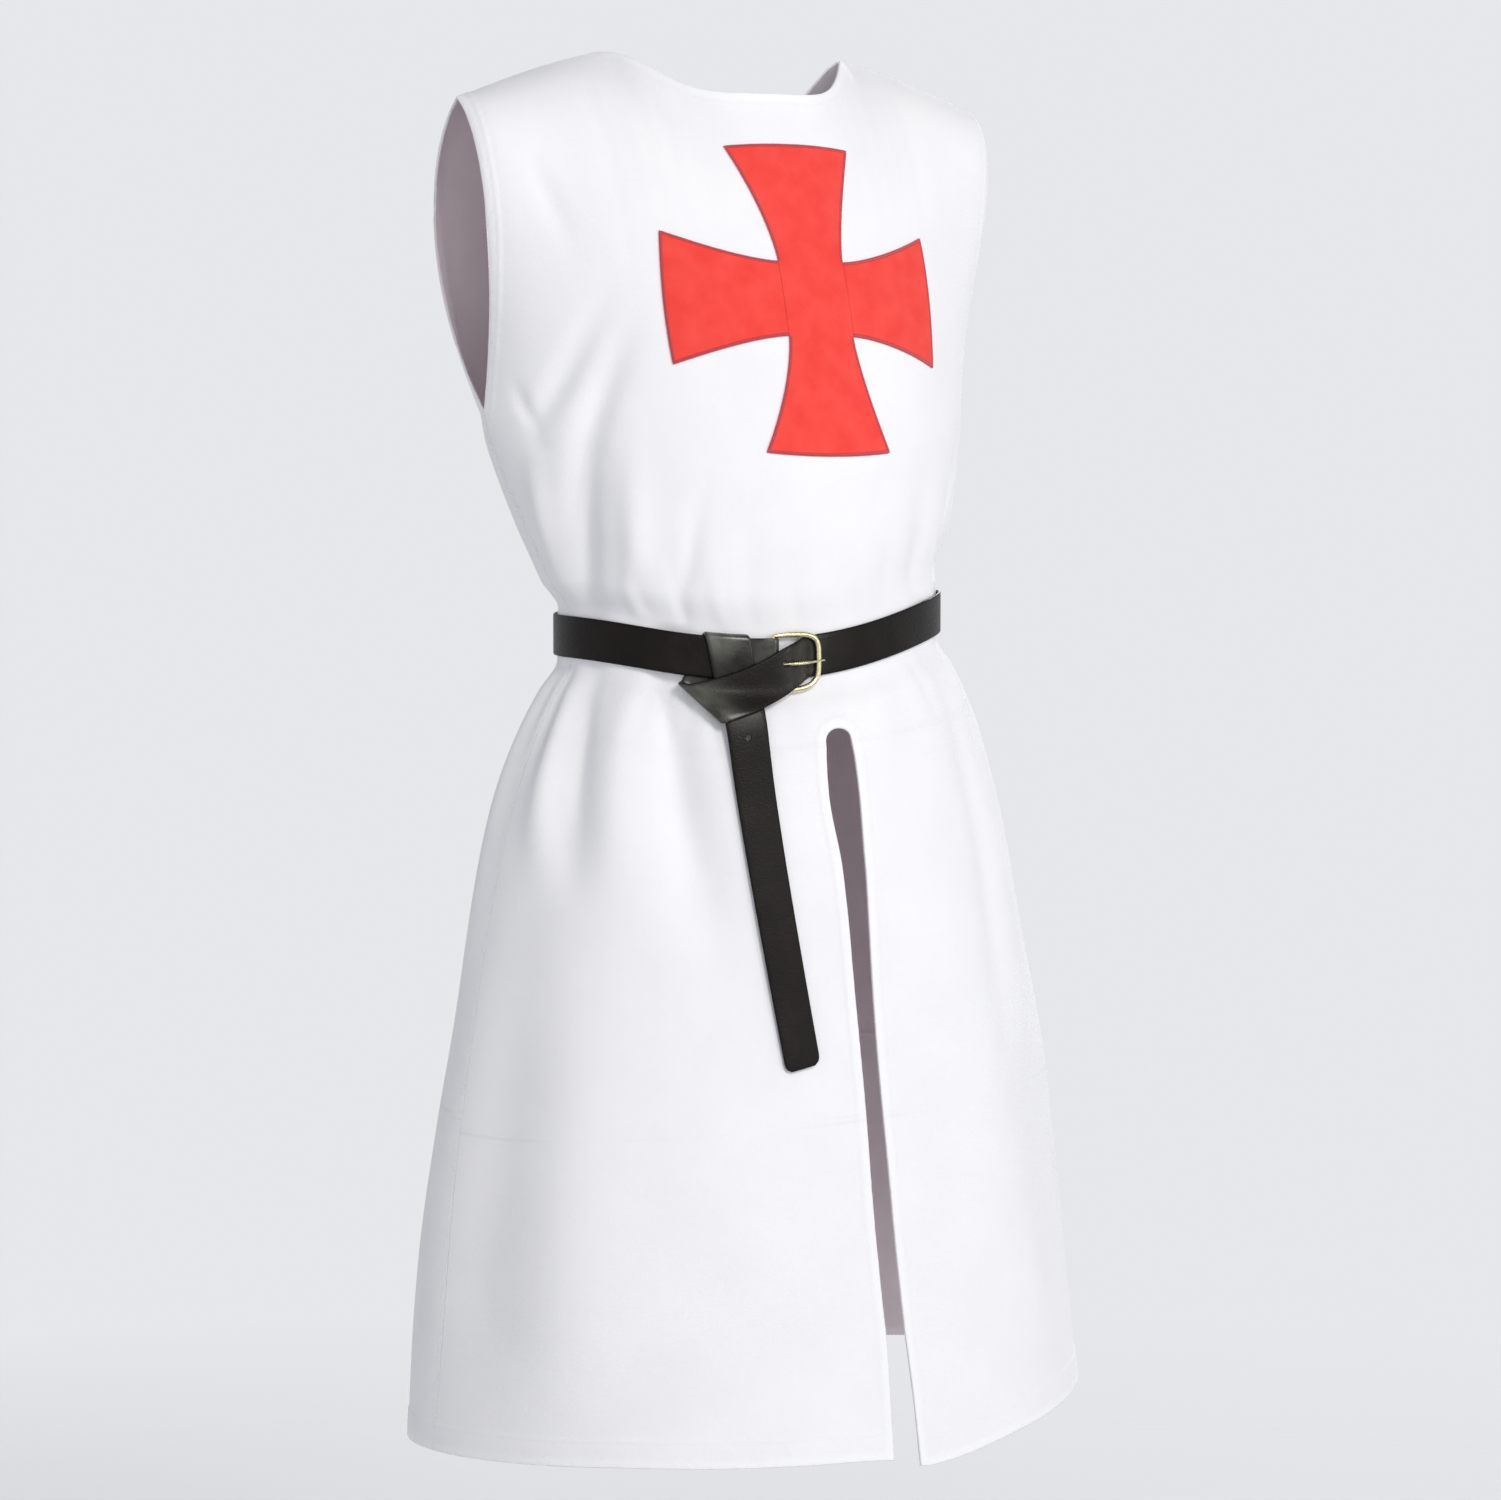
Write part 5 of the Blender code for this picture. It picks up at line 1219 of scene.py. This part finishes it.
def punch(strap, hole):
    """Cuts a hole through the strap, with a box or a round bar, and returns this cutter."""
    turns = np.linspace(0, 2 * math.pi, 20, endpoint=False)
    box = [(-1, -1), (1, -1), (1, 1), (-1, 1)]
    outline = [(math.cos(t), math.sin(t)) for t in turns] if hole.round else box
    ends = np.array([[(a, u, o) for a, u in outline] for o in (-1, 1)])
    size = hole.half_along, hole.half_up, hole.half_out
    rings = np.array([hole.along, hole.up, hole.out]) + ends * size
    points = belt_place(*np.moveaxis(rings, 2, 0))
    cutter = tube("cutter_" + hole.name, points, strap.data.materials[0])
    cutter.hide_render = True
    cut = strap.modifiers.new(hole.name, "BOOLEAN")
    cut.operation, cut.solver, cut.object = "DIFFERENCE", "EXACT", cutter
    return cutter


def brass_bar(name, places, radii, flatness, material, closed):
    """A cast bar along belt places; flatness thins it from front to back."""
    points = belt_place(*places.T)
    out = unit(belt_place(*(places + (0, 0, 0.001)).T) - points)
    around = np.roll(points, -1, axis=0) - np.roll(points, 1, axis=0)
    along = unit(around if closed else np.gradient(points, axis=0))
    side = unit(np.cross(along, out))
    rise = np.cross(side, along)
    rings = [
        points + radii[:, None] * (side * math.cos(t) + rise * flatness * math.sin(t))
        for t in np.linspace(0, 2 * math.pi, 16, endpoint=False)
    ]
    return tube(name, np.stack(rings, axis=1), material, closed)


def buckle(material):
    """The cast frame with its straight hinge bar, and the prong."""
    # down the hinge bar, then up round the bow, whose corners are rounded
    line = [
        (HINGE_ALONG, FRAME_UP + up, HINGE_OUT, HINGE_BAR)
        for up in np.linspace(FRAME_HALF * 0.97, -FRAME_HALF * 0.97, 15)
    ]
    for turn in np.linspace(-0.5, 0.5, 61):
        corner = math.copysign(abs(math.sin(turn * math.pi)) ** 0.5, turn)
        share = 0.25 + 0.75 * abs(math.cos(turn * math.pi)) ** 0.6
        along, up = HINGE_ALONG + FRAME_REACH * share, FRAME_UP + FRAME_HALF * corner
        line.append((along, up, HINGE_OUT + (FRAME_OUT - HINGE_OUT) * share, FRAME_BAR * 1.3))
    line = even_points(np.array(line + line[:1]), 0.0009)[:-1]
    frame_piece = brass_bar("brass_frame", line[:, :3], line[:, 3], 0.95, material, True)
    route = smooth_route(PRONG, 0.0008)
    taper = 1 - 0.45 * smooth_step((np.arange(len(route)) - len(route) * 0.6) / (len(route) * 0.4))
    prong = brass_bar("brass_prong", route[:, :3], PRONG_BAR * 1.15 * taper, 0.9, material, False)
    return frame_piece, prong


# --- the room ---


def soft_light(name, place, size, power, colour):
    data = bpy.data.lights.new(name, "AREA")
    data.shape = "DISK"
    data.size, data.energy, data.color = size, power, hex_colour(colour)[:3]
    light = bpy.data.objects.new(name, data)
    light.location = place
    light.rotation_euler = (AIM - light.location).to_track_quat("-Z", "Y").to_euler()
    bpy.context.scene.collection.objects.link(light)


def studio():
    """A pale floor that melts into a pale room, and soft light from high in front and behind."""
    world = bpy.data.worlds.new("pale room")
    world.use_nodes = True
    tree = world.node_tree
    tree.nodes.clear()
    # pale walls all round, and a dimmer ceiling and ground, so that folds keep their shade
    way = node(tree, "ShaderNodeTexCoord").outputs["Generated"]
    up = node(tree, "ShaderNodeSeparateXYZ", {"Vector": way}).outputs["Z"]
    height = node(tree, "ShaderNodeMath", {0: up}, operation="ABSOLUTE")
    tone = toned(tree, height, (0.30, 0.62), "#e6e7ea", "#7b7c80")
    sky = node(tree, "ShaderNodeBackground", {"Color": tone})
    node(tree, "ShaderNodeOutputWorld", {"Surface": sky})
    bpy.context.scene.world = world

    paint, tree = new_material("painted floor")
    place = node(tree, "ShaderNodeTexCoord").outputs["Object"]
    away = node(tree, "ShaderNodeVectorMath", {0: place}, operation="LENGTH").outputs["Value"]
    fading = {"Value": away, "From Min": 1.0, "From Max": 3.2, "To Min": 1.0, "To Max": 0.0}
    fade = node(tree, "ShaderNodeMapRange", fading)
    mottle = node(tree, "ShaderNodeTexNoise", {"Vector": place, "Scale": 3.0})
    mottled = {"Factor": mottle, "A": "#eeeef0", "B": "#f2f2f3"}
    colour = node(tree, "ShaderNodeMix", mottled, data_type="RGBA")
    painted = {"Base Color": colour, "Roughness": 0.9, "Alpha": fade}
    shader = node(tree, "ShaderNodeBsdfPrincipled", painted)
    node(tree, "ShaderNodeOutputMaterial", {"Surface": shader})
    turns = np.linspace(0, 2 * math.pi, 97)[:-1]
    rim = [(FLOOR_RADIUS * math.cos(t), FLOOR_RADIUS * math.sin(t), FLOOR) for t in turns]
    add_mesh("floor", rim, [range(96)], [paint])

    soft_light("key", (-0.2, -3.65, 1.5), 1.2, 66, "#fffdf8")
    soft_light("window", (1.5, -3.3, 0.0), 0.8, 14, "#ffffff")
    soft_light("back", (2.5, 2.5, 1.4), 1.4, 60, "#ffffff")


def camera():
    """The view from in front, 30 degrees round to the wearer's right."""
    data = bpy.data.cameras.new("camera")
    data.sensor_fit, data.sensor_width, data.lens = "HORIZONTAL", 36.0, 109.5
    data.clip_end = 60
    eye = bpy.data.objects.new("camera", data)
    shift, distance, height, tilt = 0.022515, 3.6, -0.309, 3.503
    aside, away = np.array([0.866, -0.5, 0.0]), np.array([-0.5, -0.866, 0.0])
    eye.location = aside * shift + away * distance + np.array([0, 0, height])
    eye.rotation_euler = (math.radians(90 - tilt), 0, math.radians(-30))
    bpy.context.scene.collection.objects.link(eye)
    bpy.context.scene.camera = eye


# --- the whole ---


def dress(piece, slot, *nodes):
    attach(piece, "root")
    if nodes:
        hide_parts(*nodes)


def main():
    bpy.context.scene.view_settings.view_transform = "Standard"
    studio()
    camera()

    # the last colour of each cloth is its painted highlight along the sewn edges
    canvas = woven_cotton("white cotton canvas, washed", "#fafafd", "#f6f6fa", "#fdfdff")
    # the canvas's inside, in darker, mauve-tinted colours: painted shade for the garment's shaded inside
    painted_shade_inside = woven_cotton("white cotton canvas, inside, with painted shade", "#f1e7ea", "#e7dde1", "#f5edf0")
    twill = red_twill()
    thread = spun_thread("white cotton thread, spun", "#fafafa", "#dcdce2", 0.7, 0.1)
    satin = spun_thread("red rayon thread, glossy", "#e0505a", "#b03842", 0.42, 0.2)
    leather = dyed_leather()
    brass = cast_brass()

    sewing = stitch_tree("stitches along a line")

    front, front_lines = front_cloth([canvas, painted_shade_inside])
    back, back_lines = back_cloth([canvas, painted_shade_inside])
    seams = []
    for cloth, lines, name in ((front, front_lines, "front"), (back, back_lines, "back")):
        surface = BVHTree.FromObject(cloth, bpy.context.evaluated_depsgraph_get())
        sewn = [sewn_line(surface, edge, inset) for edge, inset in lines]
        seams.append(stitches(name + "_stitches", sewing, sewn, thread, SEWING))
    dress(front, "white_canvas", "front_panel")
    dress(back, "white_canvas", "back_panel")
    dress(seams[0], "white_canvas")
    dress(seams[1], "white_canvas")

    reach = np.linspace(CROSS_MIDDLE + SEAM_GAP, CROSS_HALF, 60)
    bars = [
        ("upright", np.linspace(-CROSS_HALF, CROSS_HALF, 141), UPRIGHT_END, True, (1, -1)),
        ("arm_left", reach, CROSS_END, False, (1,)),
        ("arm_right", -reach[::-1], CROSS_END, False, (-1,)),
    ]
    for name, distances, end, upright, hands in bars:
        bar = cross_bar("twill_" + name, distances, end, upright, twill)
        lines = [satin_line(CROSS_MIDDLE + SATIN_START, end, upright, hand) for hand in hands]
        border = stitches("satin_" + name, sewing, lines, satin, SATIN)
        dress(bar, "red_twill", "cross_" + name)
        dress(border, "red_twill")

    strap = leather_strap(leather)
    frame_piece, prong = buckle(brass)
    dress(strap, "black_leather", "belt_strap")
    dress(frame_piece, "brass", "buckle_frame")
    dress(prong, "brass", "buckle_prong")


main()
